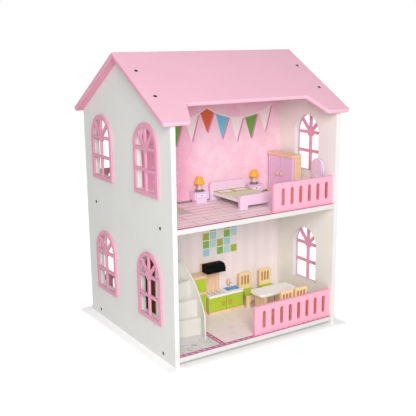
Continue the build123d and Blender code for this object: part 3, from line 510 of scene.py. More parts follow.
def bedroom_paper():
    """Printed paper on board: mottled rose ground, faint scattered dots and strings of plain pennants."""
    tint, size = colours(), sizes()
    low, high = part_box("upper_partition")
    made, tree, shader, place = material("rose printed wallpaper")
    x, _, z = axes(tree, place)
    deep = mottle(tree, place, size=38 * MM, detail=5.0, span=(0.42, 0.62), values=(0.0, 0.55))
    ground = painted(tree, tint.paper_rose, deep, linear("#F5BFD7"))
    pale = mottle(tree, place, size=22 * MM, detail=3.0, span=(0.5, 0.72), values=(0.0, 0.5))
    ground = painted(tree, ground, pale, linear("#FBDCE8"))
    # Painted shade: the paper turns a deeper pink towards the left wall, standing in for the wall's shade
    # and the pink light bounced into that corner
    deep_to, pale_from = low.x + 125 * MM, low.x + 205 * MM
    side = node(
        tree,
        "ShaderNodeMapRange",
        {"Value": x, "From Min": deep_to, "From Max": pale_from, "To Min": 0.66, "To Max": 0.0},
    )
    ground = painted(tree, ground, side, linear("#F28DB8"))
    flat = node(tree, "ShaderNodeCombineXYZ", {"X": x, "Y": z})
    spot = node(
        tree,
        "ShaderNodeTexVoronoi",
        {"Vector": flat, "Scale": 1 / size.dots, "Randomness": 1.0},
        voronoi_dimensions="2D",
    )
    dot = node(tree, "ShaderNodeMath", {0: spot, 1: size.dot / size.dots}, operation="LESS_THAN")
    dot_strength = 0.7
    dot = node(tree, "ShaderNodeMath", {0: dot, 1: dot_strength}, operation="MULTIPLY")
    ground = painted(tree, ground, dot, tint.paper_dot)
    start, height = low.x + 21 * MM, high.z - 158 * MM
    front = facing(tree, Y, -1)
    # A printed shadow of the pennants lies a little to the right of them and below
    slip = 3.5 * MM
    shade, _, _ = bunting(tree, x, z, start + slip, height - slip)
    ground = painted(tree, ground, both(tree, shade, front), linear("#E283AE"))
    cloth, cord, order = bunting(tree, x, z, start, height)
    cloths = [tint.sky, tint.linen, tint.leaf, tint.linen, tint.terracotta]
    ground = painted(tree, ground, both(tree, cloth, front), palette(tree, order, cloths))
    ground = painted(tree, ground, both(tree, cord, front), tint.linen)
    lacquer(tree, shader, place, ground, roughness=0.5, peel=0.02)
    return made


def kitchen_paper():
    """Printed paper on board: pale ground, faint upright stripes and a block of plain tiles."""
    tint, size = colours(), sizes()
    low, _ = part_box("lower_partition")
    made, tree, shader, place = material("pale printed wallpaper")
    x, _, z = axes(tree, place)
    stripes = dashed(tree, x, size.stripe, share=0.5)
    ground = painted(tree, tint.paper_pale, stripes, linear("#FAEDED"))
    # Tiles: the block's corner and size, each row's shift in colour, and half a joint as a share
    left, foot = -22 * MM, 168 * MM
    columns, rows, row_shift, half_joint = 5, 5, 2.0, 0.06
    across = node(tree, "ShaderNodeMath", {0: x, 1: left}, operation="SUBTRACT")
    across = node(tree, "ShaderNodeMath", {0: across, 1: size.tile}, operation="DIVIDE")
    up = node(tree, "ShaderNodeMath", {0: z, 1: foot}, operation="SUBTRACT")
    up = node(tree, "ShaderNodeMath", {0: up, 1: size.tile}, operation="DIVIDE")
    column = node(tree, "ShaderNodeMath", {0: across}, operation="FLOOR")
    row = node(tree, "ShaderNodeMath", {0: up}, operation="FLOOR")
    order = node(tree, "ShaderNodeMath", {0: row, 1: row_shift, 2: column}, operation="MULTIPLY_ADD")
    glazes = [linear("#A9DCE2"), tint.linen, linear("#8DC25A"), linear("#BFE3E6"), tint.olive]
    tile = palette(tree, order, glazes)
    in_column = node(tree, "ShaderNodeMath", {0: across}, operation="FRACT")
    in_row = node(tree, "ShaderNodeMath", {0: up}, operation="FRACT")
    glazed = both(
        tree,
        band(tree, in_column, half_joint, 1 - half_joint),
        band(tree, in_row, half_joint, 1 - half_joint),
    )
    tiles = painted(tree, tint.linen, glazed, tile)
    block = both(tree, band(tree, across, 0.0, columns), band(tree, up, 0.0, rows), facing(tree, Y, -1))
    ground = painted(tree, ground, block, tiles)
    dado_high = 12 * MM
    dado = band(tree, z, low.z, low.z + dado_high)
    ground = painted(tree, ground, dado, linear("#F7EDEE"))
    lacquer(tree, shader, place, ground, roughness=0.5, peel=0.02)
    return made


def bedroom_floor():
    """Printed floorboards with a stripe along the open edges, on a board with white lacquered edges."""
    tint, size = colours(), sizes()
    low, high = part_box("upper_floor")
    made, tree, shader, place = material("rose printed floorboards")
    x, y, _ = axes(tree, place)
    flat = node(tree, "ShaderNodeCombineXYZ", {"X": x, "Y": y})
    boards = node(
        tree,
        "ShaderNodeTexBrick",
        {
            "Vector": flat,
            "Color1": tint.plank,
            "Color2": linear("#FBE4E8"),
            "Mortar": tint.plank_line,
            "Scale": 1.0,
            "Mortar Size": 1.0 * MM,
            "Mortar Smooth": 0.2,
            "Bias": -0.2,
            "Brick Width": size.plank_run,
            "Row Height": size.plank_width,
        },
        offset=0.37,
    )
    streak_long, streak_wide = 70 * MM, 3 * MM
    streak = (1 / streak_long, 1 / streak_wide, 1.0)
    drawn_out = node(tree, "ShaderNodeMapping", {"Vector": place, "Scale": streak})
    pale = mottle(tree, drawn_out, size=1.0, detail=3.0, span=(0.45, 0.7), values=(0.0, 0.5))
    wood = painted(tree, boards, pale, linear("#FCEFF0"))
    deep = mottle(tree, drawn_out, size=1.0, detail=3.0, span=(0.42, 0.3), values=(0.0, 0.4))
    wood = painted(tree, wood, deep, linear("#E6C3CC"))
    stripe = node(
        tree,
        "ShaderNodeMath",
        {0: band(tree, y, low.y, low.y + size.border), 1: band(tree, y, high.y - size.border, high.y)},
        operation="ADD",
    )
    print_colour = painted(tree, wood, stripe, tint.border)
    # Painted shade: the strip of floor under the partition is painted dark brown over the print, so the gap
    # beneath the partition shows as a dark shadow line
    paper, back = [corner.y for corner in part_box("upper_partition")]
    print_colour = painted(tree, print_colour, band(tree, y, paper, back), linear("#4E2F28"))
    # The stairwell's cut edges show the bare board
    well_wide, well_deep, spare = 116 * MM, 99.5 * MM, 1 * MM
    well = both(
        tree,
        band(tree, x, low.x - spare, low.x + well_wide),
        band(tree, y, paper - well_deep, paper + spare),
    )
    raw = bare_fibre(tree, place, linear("#E4D5CA"), linear("#EFE4DA"))
    edges = painted(tree, tint.edging, well, raw)
    ground = painted(tree, edges, facing(tree, Z, 1), print_colour)
    lacquer(tree, shader, place, ground, roughness=0.42, peel=0.02)
    return made


def kitchen_floor():
    """Printed marble in two tones parted by a dashed stripe, on a board with white lacquered edges."""
    tint, size = colours(), sizes()
    low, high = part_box("base_panel")
    made, tree, shader, place = material("printed marble floor")
    x, y, _ = axes(tree, place)
    vein_size, crack_size, spare = 40 * MM, 45 * MM, 1 * MM
    veins = node(
        tree,
        "ShaderNodeTexNoise",
        {"Vector": place, "Scale": 1 / vein_size, "Detail": 6.0, "Roughness": 0.62, "Distortion": 1.4},
    )
    vein = node(
        tree,
        "ShaderNodeMapRange",
        {"Value": veins, "From Min": 0.35, "From Max": 0.68, "To Min": 0.0, "To Max": 0.8},
    )
    rose = painted(tree, tint.floor_rose, vein, linear("#FAE5E6"))
    blush = mottle(tree, place, size=17 * MM, detail=4.0, span=(0.54, 0.72), values=(0.0, 0.45))
    rose = painted(tree, rose, blush, linear("#F2C8CE"))
    grey = painted(tree, tint.floor_grey, vein, linear("#E6E5E3"))
    cracks = node(
        tree,
        "ShaderNodeTexNoise",
        {"Vector": place, "Scale": 1 / crack_size, "Detail": 1.0, "Distortion": 0.7},
    )
    grey = painted(tree, grey, band(tree, cracks, 0.487, 0.505), linear("#B8B5B2"))
    edge = low.x + size.hall
    hall = band(tree, x, low.x - spare, edge - size.rim)
    printed = painted(tree, rose, hall, grey)
    run = node(tree, "ShaderNodeMath", {0: x, 1: y}, operation="ADD")
    dashes = dashed(tree, run, size.dash, share=0.62)
    # The stripe beside the hall and the two along the open edges, each dashed along its middle
    plain = 0.3 * size.rim
    for along, start, inward in ((x, edge, -1), (y, low.y, 1), (y, high.y, -1)):
        rim = band(tree, along, start, start + inward * size.rim)
        printed = painted(tree, printed, rim, tint.border)
        middle = band(tree, along, start + inward * plain, start + inward * (size.rim - plain))
        printed = painted(tree, printed, both(tree, middle, dashes), linear("#EDBBD2"))
    ground = painted(tree, tint.edging, facing(tree, Z, 1), printed)
    lacquer(tree, shader, place, ground, roughness=0.4, peel=0.02)
    return made


class DOLLHOUSE_OT_roof(bpy.types.Operator):
    """Lacquers the two roof panels"""

    bl_idname = "dollhouse.roof"
    bl_label = "Roof"

    def execute(self, context):
        finish(roof_paint(), "front_roof_panel", "rear_roof_panel")
        return {"FINISHED"}


def roof_paint():
    """Pink lacquer on board, with painted shade: a deeper pink on the gable edges and the underside, which
    turn away from the light.
    """
    tint = colours()
    reach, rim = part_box("front_roof_panel")[1].x, 5 * MM
    made, tree, shader, place = material("pale pink lacquered fibreboard")
    across, _, up = axes(tree, node(tree, "ShaderNodeTexCoord", out="Normal"))
    across = node(tree, "ShaderNodeMath", {0: across}, operation="ABSOLUTE")
    turned_out = node(
        tree,
        "ShaderNodeMapRange",
        {"Value": across, "From Min": 0.3, "From Max": 0.8, "To Min": 0.0, "To Max": 0.75},
    )
    outward = node(tree, "ShaderNodeMath", {0: axes(tree, place)[X]}, operation="ABSOLUTE")
    gable = node(tree, "ShaderNodeMath", {0: outward, 1: reach - rim}, operation="GREATER_THAN")
    edge = both(tree, turned_out, gable)
    under = node(
        tree,
        "ShaderNodeMapRange",
        {"Value": up, "From Min": -0.62, "From Max": -0.78, "To Min": 0.0, "To Max": 1.0},
    )
    # Painted shade on the gable edges and on the underside
    deep = node(tree, "ShaderNodeMath", {0: edge, 1: under}, operation="MAXIMUM")
    lacquer(tree, shader, place, painted(tree, tint.roof, deep, tint.roof_painted_shade), roughness=0.4)
    return made


class DOLLHOUSE_OT_windows(bpy.types.Operator):
    """Lacquers the arched window frames"""

    bl_idname = "dollhouse.windows"
    bl_label = "Windows"

    def execute(self, context):
        made = lacquered_board("rose pink lacquered fibreboard", colours().frame, roughness=0.42)
        finish(made, *nodes_named("_window"))
        return {"FINISHED"}


class DOLLHOUSE_OT_railings(bpy.types.Operator):
    """Lacquers the railings, with bare board left inside their slots"""

    bl_idname = "dollhouse.railings"
    bl_label = "Railings"

    def execute(self, context):
        for name in nodes_named("_railing"):
            finish(railing_paint(name), name)
        return {"FINISHED"}


def railing_paint(name):
    """Pink lacquer on board, with stained bare fibreboard on the walls of the slots."""
    tint = colours()
    low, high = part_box(name)
    margin = 8 * MM
    made, tree, shader, place = material("pink lacquer on bare-slotted board " + name)
    x, _, z = axes(tree, place)
    core = band(tree, z, low.z + margin, high.z - margin)
    ends = band(tree, x, low.x + margin, high.x - margin)
    raw = bare_fibre(tree, place, tint.slot, linear("#EFA9A2"))
    ground = painted(tree, tint.railing, both(tree, sideways(tree, Y), core, ends), raw)
    lacquer(tree, shader, place, ground, roughness=0.42)
    return made


class DOLLHOUSE_OT_metal(bpy.types.Operator):
    """Finishes the screws and hinge pins"""

    bl_idname = "dollhouse.metal"
    bl_label = "Screws and Pins"

    def execute(self, context):
        finish(steel("blackened screw steel", colours().screw, roughness=0.45), "wall_screws", "roof_screws")
        finish(steel("drawn pin steel", colours().pin, roughness=0.3), *nodes_named("_hinge_pin"))
        return {"FINISHED"}


class DOLLHOUSE_OT_stair(bpy.types.Operator):
    """Lacquers the winding stair"""

    bl_idname = "dollhouse.stair"
    bl_label = "Stair"

    def execute(self, context):
        finish(stair_paint(), "stair_steps", "stair_curved_side")
        return {"FINISHED"}


def stair_paint():
    """Cream lacquer on top and outside, with bare fibreboard left under the steps."""
    tint = colours()
    low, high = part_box("stair_steps")
    reach, rise = high.x - low.x, (high.z - low.z) / STAIR_TREADS
    hub = (low.x, high.y - reach, 0.0)
    made, tree, shader, place = material("cream lacquered fibreboard")
    x, y, z = axes(tree, place)
    right = node(tree, "ShaderNodeMath", {0: x, 1: hub[0]}, operation="SUBTRACT")
    back = node(tree, "ShaderNodeMath", {0: y, 1: hub[1]}, operation="SUBTRACT")
    turn = node(tree, "ShaderNodeMath", {0: back, 1: right}, operation="ARCTAN2")
    # Each riser that a point lies behind, by a degree, lifts the paint's lower limit there by one step
    tread_edge, past_riser, spare = 3.9 * MM, 1.0, 1 * MM
    limit = low.z - tread_edge
    for i in range(STAIR_TREADS):
        riser = FIRST_RISER + i * FIRST_TREAD + TREAD_GROWTH * i * (i - 1) / 2
        start = radians(riser + past_riser)
        behind = node(tree, "ShaderNodeMath", {0: turn, 1: start}, operation="GREATER_THAN")
        limit = node(tree, "ShaderNodeMath", {0: behind, 1: rise, 2: limit}, operation="MULTIPLY_ADD")
    under = node(tree, "ShaderNodeMath", {0: z, 1: limit}, operation="LESS_THAN")
    flat = node(tree, "ShaderNodeCombineXYZ", {"X": x, "Y": y})
    away = node(tree, "ShaderNodeVectorMath", {0: flat, 1: hub}, "Value", operation="DISTANCE")
    within = node(tree, "ShaderNodeMath", {0: away, 1: reach + spare}, operation="LESS_THAN")
    raw = bare_fibre(tree, place, tint.fibre, linear("#B68468"))
    ground = painted(tree, tint.stair, both(tree, under, within), raw)
    lacquer(tree, shader, place, ground, roughness=0.42)
    return made


class DOLLHOUSE_OT_bedroom(bpy.types.Operator):
    """Paints the bed, nightstands, wardrobe and vanity, and lays the printed quilt"""

    bl_idname = "dollhouse.bedroom"
    bl_label = "Bedroom Furniture"

    def execute(self, context):
        tint = colours()
        lilac = lacquered_board("lilac painted wood", tint.lilac, roughness=0.38)
        finish(lilac, "bed_headboard", "bed_footboard")
        finish(printed_quilt(), "bed_deck")
        for side in ("left", "right"):
            finish(drawer_print(side + "_nightstand"), side + "_nightstand")
        doors = lacquered_board("mauve painted wood", tint.wardrobe, roughness=0.36)
        finish(doors, "wardrobe_rear_door", "wardrobe_front_door")
        finish(beech_wood("beech with upright grain", Z), "wardrobe_body")
        knob = beech_wood("turned beech", X)
        for leaf in ("rear", "front"):
            turned_knob("wardrobe_" + leaf, (-1, 0, 0), knob)
        finish(vanity_paint(), "vanity_table", "vanity_mirror")
        self.mirror_glass()
        return {"FINISHED"}

    def mirror_glass(self):
        """Silvered oval sheet with a rounded rim, on the front of the mirror plate."""
        low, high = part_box("vanity_mirror")
        half_wide, half_high = (high.y - low.y) / 2, 26.5 * MM
        middle = Vector((low.x, (low.y + high.y) / 2, high.z - half_high))
        count = 64
        build = bmesh.new()
        rings = []
        # How far each ring lies inside the plate's edge and stands proud of it, in millimetres
        for inset, proud in ((4.2, 0.0), (4.4, 0.5), (5.0, 0.8), (9.0, 0.9)):
            wide, tall = half_wide - inset * MM, half_high - inset * MM
            ring = []
            for i in range(count):
                turn = 2 * pi * i / count
                spot = Vector((-proud * MM, wide * cos(turn), tall * sin(turn)))
                ring.append(build.verts.new(middle + spot))
            rings.append(ring)
        for outer, inner in zip(rings, rings[1:]):
            for i in range(count):
                j = (i + 1) % count
                build.faces.new((outer[i], inner[i], inner[j], outer[j])).smooth = True
        build.faces.new(list(reversed(rings[-1])))
        build.faces.new(rings[0])
        bmesh.ops.recalc_face_normals(build, faces=build.faces)
        made, tree, shader, place = material("silvered mirror sheet")
        haze = mottle(tree, place, size=8 * MM, detail=2.0, span=(0.3, 0.7), values=(0.3, 0.36))
        tree.links.new(haze, shader.inputs["Roughness"])
        shader.inputs["Base Color"].default_value = colours().mirror
        shader.inputs["Metallic"].default_value = 0.6
        mesh_piece("mirror_glass", build, "vanity", "lilac_painted_wood", made)


def printed_quilt():
    """Board under a printed quilt: sage ground, a lattice, and two plain pillows on an olive strip."""
    tint, size = colours(), sizes()
    low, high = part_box("bed_deck")
    made, tree, shader, place = material("printed quilt on board")
    x, y, _ = axes(tree, place)
    quilt = tint.quilt
    # Two sets of slanting lines make the lattice
    for sign in (1.0, -1.0):
        slant = node(tree, "ShaderNodeMath", {0: y, 1: sign, 2: x}, operation="MULTIPLY_ADD")
        quilt = painted(tree, quilt, dashed(tree, slant, size.lattice, share=0.14), linear("#D0DCA8"))
    middle, width = (low.x + high.x) / 2, high.x - low.x
    # Both edges of the olive strip and of the pillows, counted from the head of the bed
    strip_foot, strip_head, pillow_foot, pillow_head = 40 * MM, 3 * MM, 34 * MM, 10 * MM
    pillow_off, pillow_half = width * 0.24, width * 0.18
    strip = band(tree, y, high.y - strip_foot, high.y - strip_head)
    quilt = painted(tree, quilt, strip, tint.olive)
    for end in (-1, 1):
        spot = middle + end * pillow_off
        pillow = both(
            tree,
            band(tree, x, spot - pillow_half, spot + pillow_half),
            band(tree, y, high.y - pillow_foot, high.y - pillow_head),
        )
        quilt = painted(tree, quilt, pillow, tint.linen)
    ground = painted(tree, tint.linen, facing(tree, Z, 1), quilt)
    lacquer(tree, shader, place, ground, roughness=0.5, peel=0.03)
    return made


def drawer_print(name):
    """Lilac paint with one drawer printed on the front: a dashed outline and a round pull."""
    tint = colours()
    low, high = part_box(name)
    made, tree, shader, place = material("lilac paint with printed drawer " + name)
    x, _, z = axes(tree, place)
    middle, level = (low.x + high.x) / 2, high.z - 9.75 * MM
    half_wide, half_high, line, pull_radius = 16 * MM, 6.6 * MM, 1.1 * MM, 1.7 * MM
    outer = both(
        tree,
        band(tree, x, middle - half_wide, middle + half_wide),
        band(tree, z, level - half_high, level + half_high),
    )
    inner = both(
        tree,
        band(tree, x, middle - half_wide + line, middle + half_wide - line),
        band(tree, z, level - half_high + line, level + half_high - line),
    )
    run = node(tree, "ShaderNodeMath", {0: x, 1: z}, operation="ADD")
    dash = dashed(tree, run, pitch=4 * MM, share=0.65)
    edge = node(tree, "ShaderNodeMath", {0: outer, 1: inner}, operation="SUBTRACT")
    pull = node(
        tree,
        "ShaderNodeVectorMath",
        {0: place, 1: (middle, low.y, level)},
        "Value",
        operation="DISTANCE",
    )
    pull = node(tree, "ShaderNodeMath", {0: pull, 1: pull_radius}, operation="LESS_THAN")
    front = facing(tree, Y, -1)
    pale = painted(tree, tint.lilac, both(tree, inner, front), linear("#F6E2F3"))
    lined = painted(tree, pale, both(tree, edge, dash, front), tint.drawer)
    ground = painted(tree, lined, both(tree, pull, front), linear("#4A3858"))
    lacquer(tree, shader, place, ground, roughness=0.38)
    return made


def vanity_paint():
    """Lilac paint with an ivory table top."""
    tint = colours()
    _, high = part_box("vanity_table")
    made, tree, shader, place = material("lilac and ivory painted wood")
    _, _, z = axes(tree, place)
    top_thick, spare = 6 * MM, 0.1 * MM
    top = band(tree, z, high.z - top_thick, high.z + spare)
    ground = painted(tree, tint.lilac, top, tint.ivory)
    lacquer(tree, shader, place, ground, roughness=0.38)
    return made


class DOLLHOUSE_OT_lamps(bpy.types.Operator):
    """Turns the two bedside lamps: a grey foot, a beech stem and a fluted orange shade"""

    bl_idname = "dollhouse.lamps"
    bl_label = "Lamps"

    def execute(self, context):
        tint = colours()
        foot = lacquered_board("grey painted wood", tint.lamp_foot, roughness=0.4)
        stem = beech_wood("turned beech stem", Z)
        shade = lacquered_board("orange painted wood", tint.shade, roughness=0.36)
        for side in ("left", "right"):
            piece = self.lamp(side, (foot, stem, shade))
            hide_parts(side + "_lamp")
        return {"FINISHED"}

    def lamp(self, side, made):
        """One lamp as a turned solid on its nightstand, its shade fluted round the rim."""
        low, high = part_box(side + "_lamp")
        middle = (low + high) / 2
        # Height, radius and flute depth in millimetres, and the finish below
        foot, stem, shade = 0, 1, 2
        profile = (
            (0.0, 10.7, 0.0, foot), (0.6, 11.3, 0.0, foot), (3.6, 11.3, 0.0, foot),
            (4.6, 10.4, 0.0, foot), (5.0, 8.0, 0.0, foot), (5.0, 4.7, 0.0, foot),
            (9.0, 4.9, 0.0, stem), (14.0, 4.5, 0.0, stem), (19.5, 3.7, 0.0, stem),
            (19.5, 11.6, 0.4, shade), (20.1, 12.3, 0.6, shade), (21.4, 12.3, 0.6, shade),
            (28.6, 10.1, 0.5, shade), (36.2, 7.6, 0.4, shade), (37.4, 6.9, 0.3, shade),
            (38.0, 5.4, 0.0, shade),
        )
        build = bmesh.new()
        place = Matrix.Translation((middle.x, middle.y, low.z))
        turned(build, place, profile, count=84, flutes=sizes().flutes)
        return mesh_piece(side + "_turned_lamp", build, side + "_lamp_body", "orange_painted_wood", *made)


class DOLLHOUSE_OT_kitchen(bpy.types.Operator):
    """Paints the counter, cupboard, table and chairs"""

    bl_idname = "dollhouse.kitchen"
    bl_label = "Kitchen Furniture"

    def execute(self, context):
        tint = colours()
        upright = beech_wood("beech with upright grain", Z)
        finish(upright, "cupboard_body", "cooker_backboard", "table_legs")
        finish(beech_wood("beech with level grain", X), "counter_body")
        knob = beech_wood("turned stained beech", Y, tint.knob, tint.knob_line)
        for leaf in ("left", "right"):
            turned_knob("counter_" + leaf, (0, -1, 0), knob)
        self.turned_tap(upright)
        lime = lacquered_board("lime painted wood", tint.lime, roughness=0.36)
        finish(lime, "counter_left_door", "counter_right_door", "cupboard_upper_door", "cupboard_lower_door")
        matt = lacquered_board("matt black painted wood", tint.black, roughness=0.75)
        matt.node_tree.nodes["Principled BSDF"].inputs["Specular IOR Level"].default_value = 0.15
        finish(matt, "cooker_hood")
        finish(lacquered_board("ivory painted wood", tint.ivory, roughness=0.38), "table_top")
        finish(hob_print(), "counter_worktop")
        for name in nodes_named("_chair"):
            finish(chair_paint(name), name)
        return {"FINISHED"}

    def turned_tap(self, made):
        """Turned tap behind the sink: a thin stem, a thick rounded head and a short spout."""
        low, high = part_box("counter_tap")
        axis = Vector(((low.x + high.x) / 2, high.y - (high.x - low.x) / 2, low.z))
        # Height and radius of the post, and length and radius of the spout, in millimetres
        post = (
            (0.0, 2.4), (0.6, 2.2), (10.2, 2.2), (10.4, 3.4), (11.2, 4.5), (12.4, 4.9),
            (21.6, 4.9), (23.6, 4.5), (24.6, 3.6), (25.0, 2.2),
        )
        spout = ((3.0, 1.7), (12.6, 1.7), (13.6, 1.4), (14.0, 0.8))
        forward = Vector((0, -1, 0)).to_track_quat("Z", "Y").to_matrix().to_4x4()
        build = bmesh.new()
        standing = Matrix.Translation(axis)
        turned(build, standing, [(height, radius, 0.0, 0) for height, radius in post], count=40)
        spout_level = Vector((0, 0, 17 * MM))
        level = Matrix.Translation(axis + spout_level) @ forward
        turned(build, level, [(reach, radius, 0.0, 0) for reach, radius in spout], count=24)
        piece = mesh_piece("turned_tap", build, "kitchen_counter", "beech", made)
        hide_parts("counter_tap")


def hob_print():
    """Ivory paint with the hob's rings printed at the left and a blue sink printed at the right."""
    tint, pitch = colours(), sizes().hob
    low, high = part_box("counter_worktop")
    made, tree, shader, place = material("ivory painted worktop with printed hob")
    x, y, _ = axes(tree, place)
    corner = (low.x + 10 * MM, low.y + 6 * MM, 0.0)
    flat = node(tree, "ShaderNodeCombineXYZ", {"X": x, "Y": y})
    shifted = node(tree, "ShaderNodeVectorMath", {0: flat, 1: corner}, operation="SUBTRACT")
    ring = node(
        tree,
        "ShaderNodeTexVoronoi",
        {"Vector": shifted, "Scale": 1 / pitch, "Randomness": 0.0},
        voronoi_dimensions="2D",
    )
    # Radii of a ring and of the dot in it, as shares of the pitch
    ring_in, ring_out, dot = 0.28, 0.4, 0.12
    rings = node(
        tree,
        "ShaderNodeMath",
        {0: band(tree, ring, ring_in, ring_out), 1: band(tree, ring, -dot, dot)},
        operation="ADD",
    )
    columns, rows = 3, 2
    field = both(
        tree,
        band(tree, x, corner[0], corner[0] + columns * pitch),
        band(tree, y, corner[1], corner[1] + rows * pitch),
        facing(tree, Z, 1),
    )
    printed = painted(tree, tint.ivory, both(tree, rings, field), tint.hob)
    ripple = mottle(tree, place, size=6 * MM, detail=2.0, span=(0.5, 0.65), values=(0.0, 0.45))
    water = painted(tree, tint.sink, ripple, linear("#78C8F4"))
    # The basin's left edge counted from the right end, and the plain rims in front of it and around
    basin_reach, front_rim, rim = 44 * MM, 12 * MM, 2 * MM
    basin = both(
        tree,
        band(tree, x, high.x - basin_reach, high.x - rim),
        band(tree, y, low.y + front_rim, high.y - rim),
        facing(tree, Z, 1),
    )
    ground = painted(tree, printed, basin, water)
    lacquer(tree, shader, place, ground, roughness=0.36)
    return made


def chair_paint(name):
    """Varnished boards with a lime painted seat, and painted shade deepening the side faces and the walls of
    the back's slots.
    """
    tint = colours()
    low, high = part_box(name)
    made, tree, shader, place = material("varnished wood with lime seat " + name)
    x, y, z = axes(tree, place)
    # The front chairs have their backs at the low end, the rear ones at the high end
    back, spare = 6 * MM, 1 * MM
    depth = (low.y - spare, high.y - back)
    if name.startswith("front"):
        depth = (low.y + back, high.y + spare)
    seat_foot, seat_top, slot_foot, head = 33 * MM, 40.2 * MM, 50 * MM, 6 * MM
    seat = both(tree, band(tree, z, low.z + seat_foot, low.z + seat_top), band(tree, y, *depth))
    grain = wood_grain(tree, place, Z, tint.seat_wood, tint.seat_line)
    # The side faces get a deeper tone, partly the boards' cut edges and partly painted shade
    across = axes(tree, node(tree, "ShaderNodeTexCoord", out="Normal"))[X]
    across = node(tree, "ShaderNodeMath", {0: across}, operation="ABSOLUTE")
    cut = node(
        tree,
        "ShaderNodeMapRange",
        {"Value": across, "From Min": 0.5, "From Max": 0.9, "To Min": 0.0, "To Max": 0.8},
    )
    grain = painted(tree, grain, cut, tint.seat_edge_and_shade)
    # Painted shade: the walls of the slots in the back are painted a darker tan so that the slots show dark
    middle, half_wide = (low.x + high.x) / 2, 14 * MM
    slot_shade = both(
        tree,
        sideways(tree, Y),
        band(tree, x, middle - half_wide, middle + half_wide),
        band(tree, z, low.z + slot_foot, high.z - head),
    )
    grain = painted(tree, grain, slot_shade, tint.seat_slot_shade)
    ground = painted(tree, grain, seat, tint.lime)
    lacquer(tree, shader, place, ground, roughness=0.38, peel=0.03)
    return made


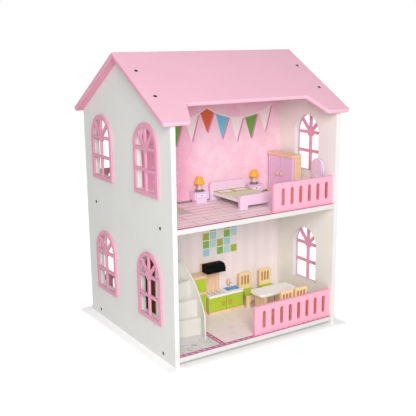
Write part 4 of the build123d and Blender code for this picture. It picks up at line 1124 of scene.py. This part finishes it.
class DOLLHOUSE_OT_stage(bpy.types.Operator):
    """Sets the white studio ground, the surround, the soft box and the camera"""

    bl_idname = "dollhouse.stage"
    bl_label = "Studio"

    def execute(self, context):
        self.ground()
        self.surround(context)
        self.light("front soft box", place=(-1.12, -2.2, 1.42), size=1.3, power=54.0)
        context.scene.view_settings.view_transform = "Standard"
        context.scene.view_settings.look = "None"
        self.camera(context)
        return {"FINISHED"}

    def surround(self, context):
        """White surround, full white to the eye and a weaker even light on the house."""
        world = bpy.data.worlds.new("studio")
        context.scene.world = world
        world.use_nodes = True
        tree = world.node_tree
        seen = node(tree, "ShaderNodeLightPath", out="Is Camera Ray")
        on_house, to_eye = 0.42, 1.0
        strength = node(tree, "ShaderNodeMapRange", {"Value": seen, "To Min": on_house, "To Max": to_eye})
        sky = tree.nodes["Background"]
        sky.inputs["Color"].default_value = (1.0, 1.0, 1.0, 1.0)
        tree.links.new(strength, sky.inputs["Strength"])

    def ground(self):
        """Wide level ground under the house, lifted to white for the eye so that no horizon shows."""
        build = bmesh.new()
        bmesh.ops.create_grid(build, x_segments=1, y_segments=1, size=40.0)
        mesh = bpy.data.meshes.new("studio_ground")
        build.to_mesh(mesh)
        build.free()
        made, tree, shader, place = material("white studio paper")
        fibre = mottle(tree, place, size=6 * MM, detail=2.0, span=(0.3, 0.7), values=(0.85, 0.95))
        tree.links.new(fibre, shader.inputs["Roughness"])
        shader.inputs["Base Color"].default_value = colours().ground
        shader.inputs["Emission Color"].default_value = colours().ground
        # Close to the house the glow fades: painted shade that darkens a band of ground round the house, on
        # top of the real contact shadow there
        outward = node(tree, "ShaderNodeVectorMath", {0: place}, operation="ABSOLUTE")
        outward = node(tree, "ShaderNodeVectorMath", {0: outward, 1: CAD_BOX[1]}, operation="SUBTRACT")
        outward = node(tree, "ShaderNodeVectorMath", {0: outward, 1: (0, 0, 0)}, operation="MAXIMUM")
        away = node(tree, "ShaderNodeVectorMath", {0: outward}, "Value", operation="LENGTH")
        fade, at_house, far_off = sizes().contact, 0.05, 0.6
        lift = node(
            tree,
            "ShaderNodeMapRange",
            {"Value": away, "From Min": 0.0, "From Max": fade, "To Min": at_house, "To Max": far_off},
        )
        seen = node(tree, "ShaderNodeLightPath", out="Is Camera Ray")
        glow = node(tree, "ShaderNodeMath", {0: seen, 1: lift}, operation="MULTIPLY")
        tree.links.new(glow, shader.inputs["Emission Strength"])
        mesh.materials.append(made)
        ground = bpy.data.objects.new("studio_ground", mesh)
        bpy.context.scene.collection.objects.link(ground)

    def light(self, name, place, size, power):
        """Square soft box that looks at the house."""
        lamp = bpy.data.lights.new(name, "AREA")
        lamp.size = size
        lamp.energy = power
        piece = bpy.data.objects.new(name, lamp)
        piece.location = place
        middle = Vector((0.0, 0.0, 0.3))
        aim = middle - Vector(place)
        piece.rotation_euler = aim.to_track_quat("-Z", "Y").to_euler()
        bpy.context.scene.collection.objects.link(piece)

    def camera(self, context):
        """Camera in front of the left corner, a little above the middle of the house."""
        yaw, pitch, roll = radians(32.64), radians(13.02), radians(-0.588)
        ahead = Vector((sin(yaw) * cos(pitch), cos(yaw) * cos(pitch), -sin(pitch)))
        right = Vector((cos(yaw), -sin(yaw), 0.0))
        up = right.cross(ahead)
        level_right = cos(roll) * right + sin(roll) * up
        level_up = cos(roll) * up - sin(roll) * right
        turn = Matrix((level_right, level_up, -ahead)).transposed().to_4x4()
        place = Vector((-0.9850, -1.5346, 0.7203))
        lens = bpy.data.cameras.new("camera")
        lens.lens = 62.02
        lens.sensor_width = 36.0
        piece = bpy.data.objects.new("camera", lens)
        piece.matrix_world = Matrix.Translation(place) @ turn
        context.scene.collection.objects.link(piece)
        context.scene.camera = piece


OPERATORS = (
    DOLLHOUSE_OT_shell,
    DOLLHOUSE_OT_roof,
    DOLLHOUSE_OT_windows,
    DOLLHOUSE_OT_railings,
    DOLLHOUSE_OT_metal,
    DOLLHOUSE_OT_stair,
    DOLLHOUSE_OT_bedroom,
    DOLLHOUSE_OT_lamps,
    DOLLHOUSE_OT_kitchen,
    DOLLHOUSE_OT_stage,
)


class DOLLHOUSE_PT_sidebar(bpy.types.Panel):
    """Lists the dollhouse's operators and settings"""

    bl_idname = "DOLLHOUSE_PT_sidebar"
    bl_label = "Wooden Dollhouse"
    bl_space_type = "VIEW_3D"
    bl_region_type = "UI"
    bl_category = "Dollhouse"

    def draw(self, context):
        for operator in OPERATORS:
            self.layout.operator(operator.bl_idname)
        for group in (context.scene.dollhouse_sizes, context.scene.dollhouse_colours):
            for name in group.__annotations__:
                self.layout.prop(group, name)


CLASSES = (DollhouseColours, DollhouseSizes, *OPERATORS, DOLLHOUSE_PT_sidebar)


def register():
    """Registers the classes and gives the scene its settings."""
    for one in CLASSES:
        bpy.utils.register_class(one)
    bpy.types.Scene.dollhouse_colours = bpy.props.PointerProperty(type=DollhouseColours)
    bpy.types.Scene.dollhouse_sizes = bpy.props.PointerProperty(type=DollhouseSizes)


def unregister():
    """Takes the settings and the classes away again."""
    del bpy.types.Scene.dollhouse_sizes
    del bpy.types.Scene.dollhouse_colours
    for one in reversed(CLASSES):
        bpy.utils.unregister_class(one)


def main():
    """Makes the whole scene."""
    register()
    bpy.ops.dollhouse.shell()
    bpy.ops.dollhouse.roof()
    bpy.ops.dollhouse.windows()
    bpy.ops.dollhouse.railings()
    bpy.ops.dollhouse.metal()
    bpy.ops.dollhouse.stair()
    bpy.ops.dollhouse.bedroom()
    bpy.ops.dollhouse.lamps()
    bpy.ops.dollhouse.kitchen()
    bpy.ops.dollhouse.stage()


if __name__ == "__main__":
    main()
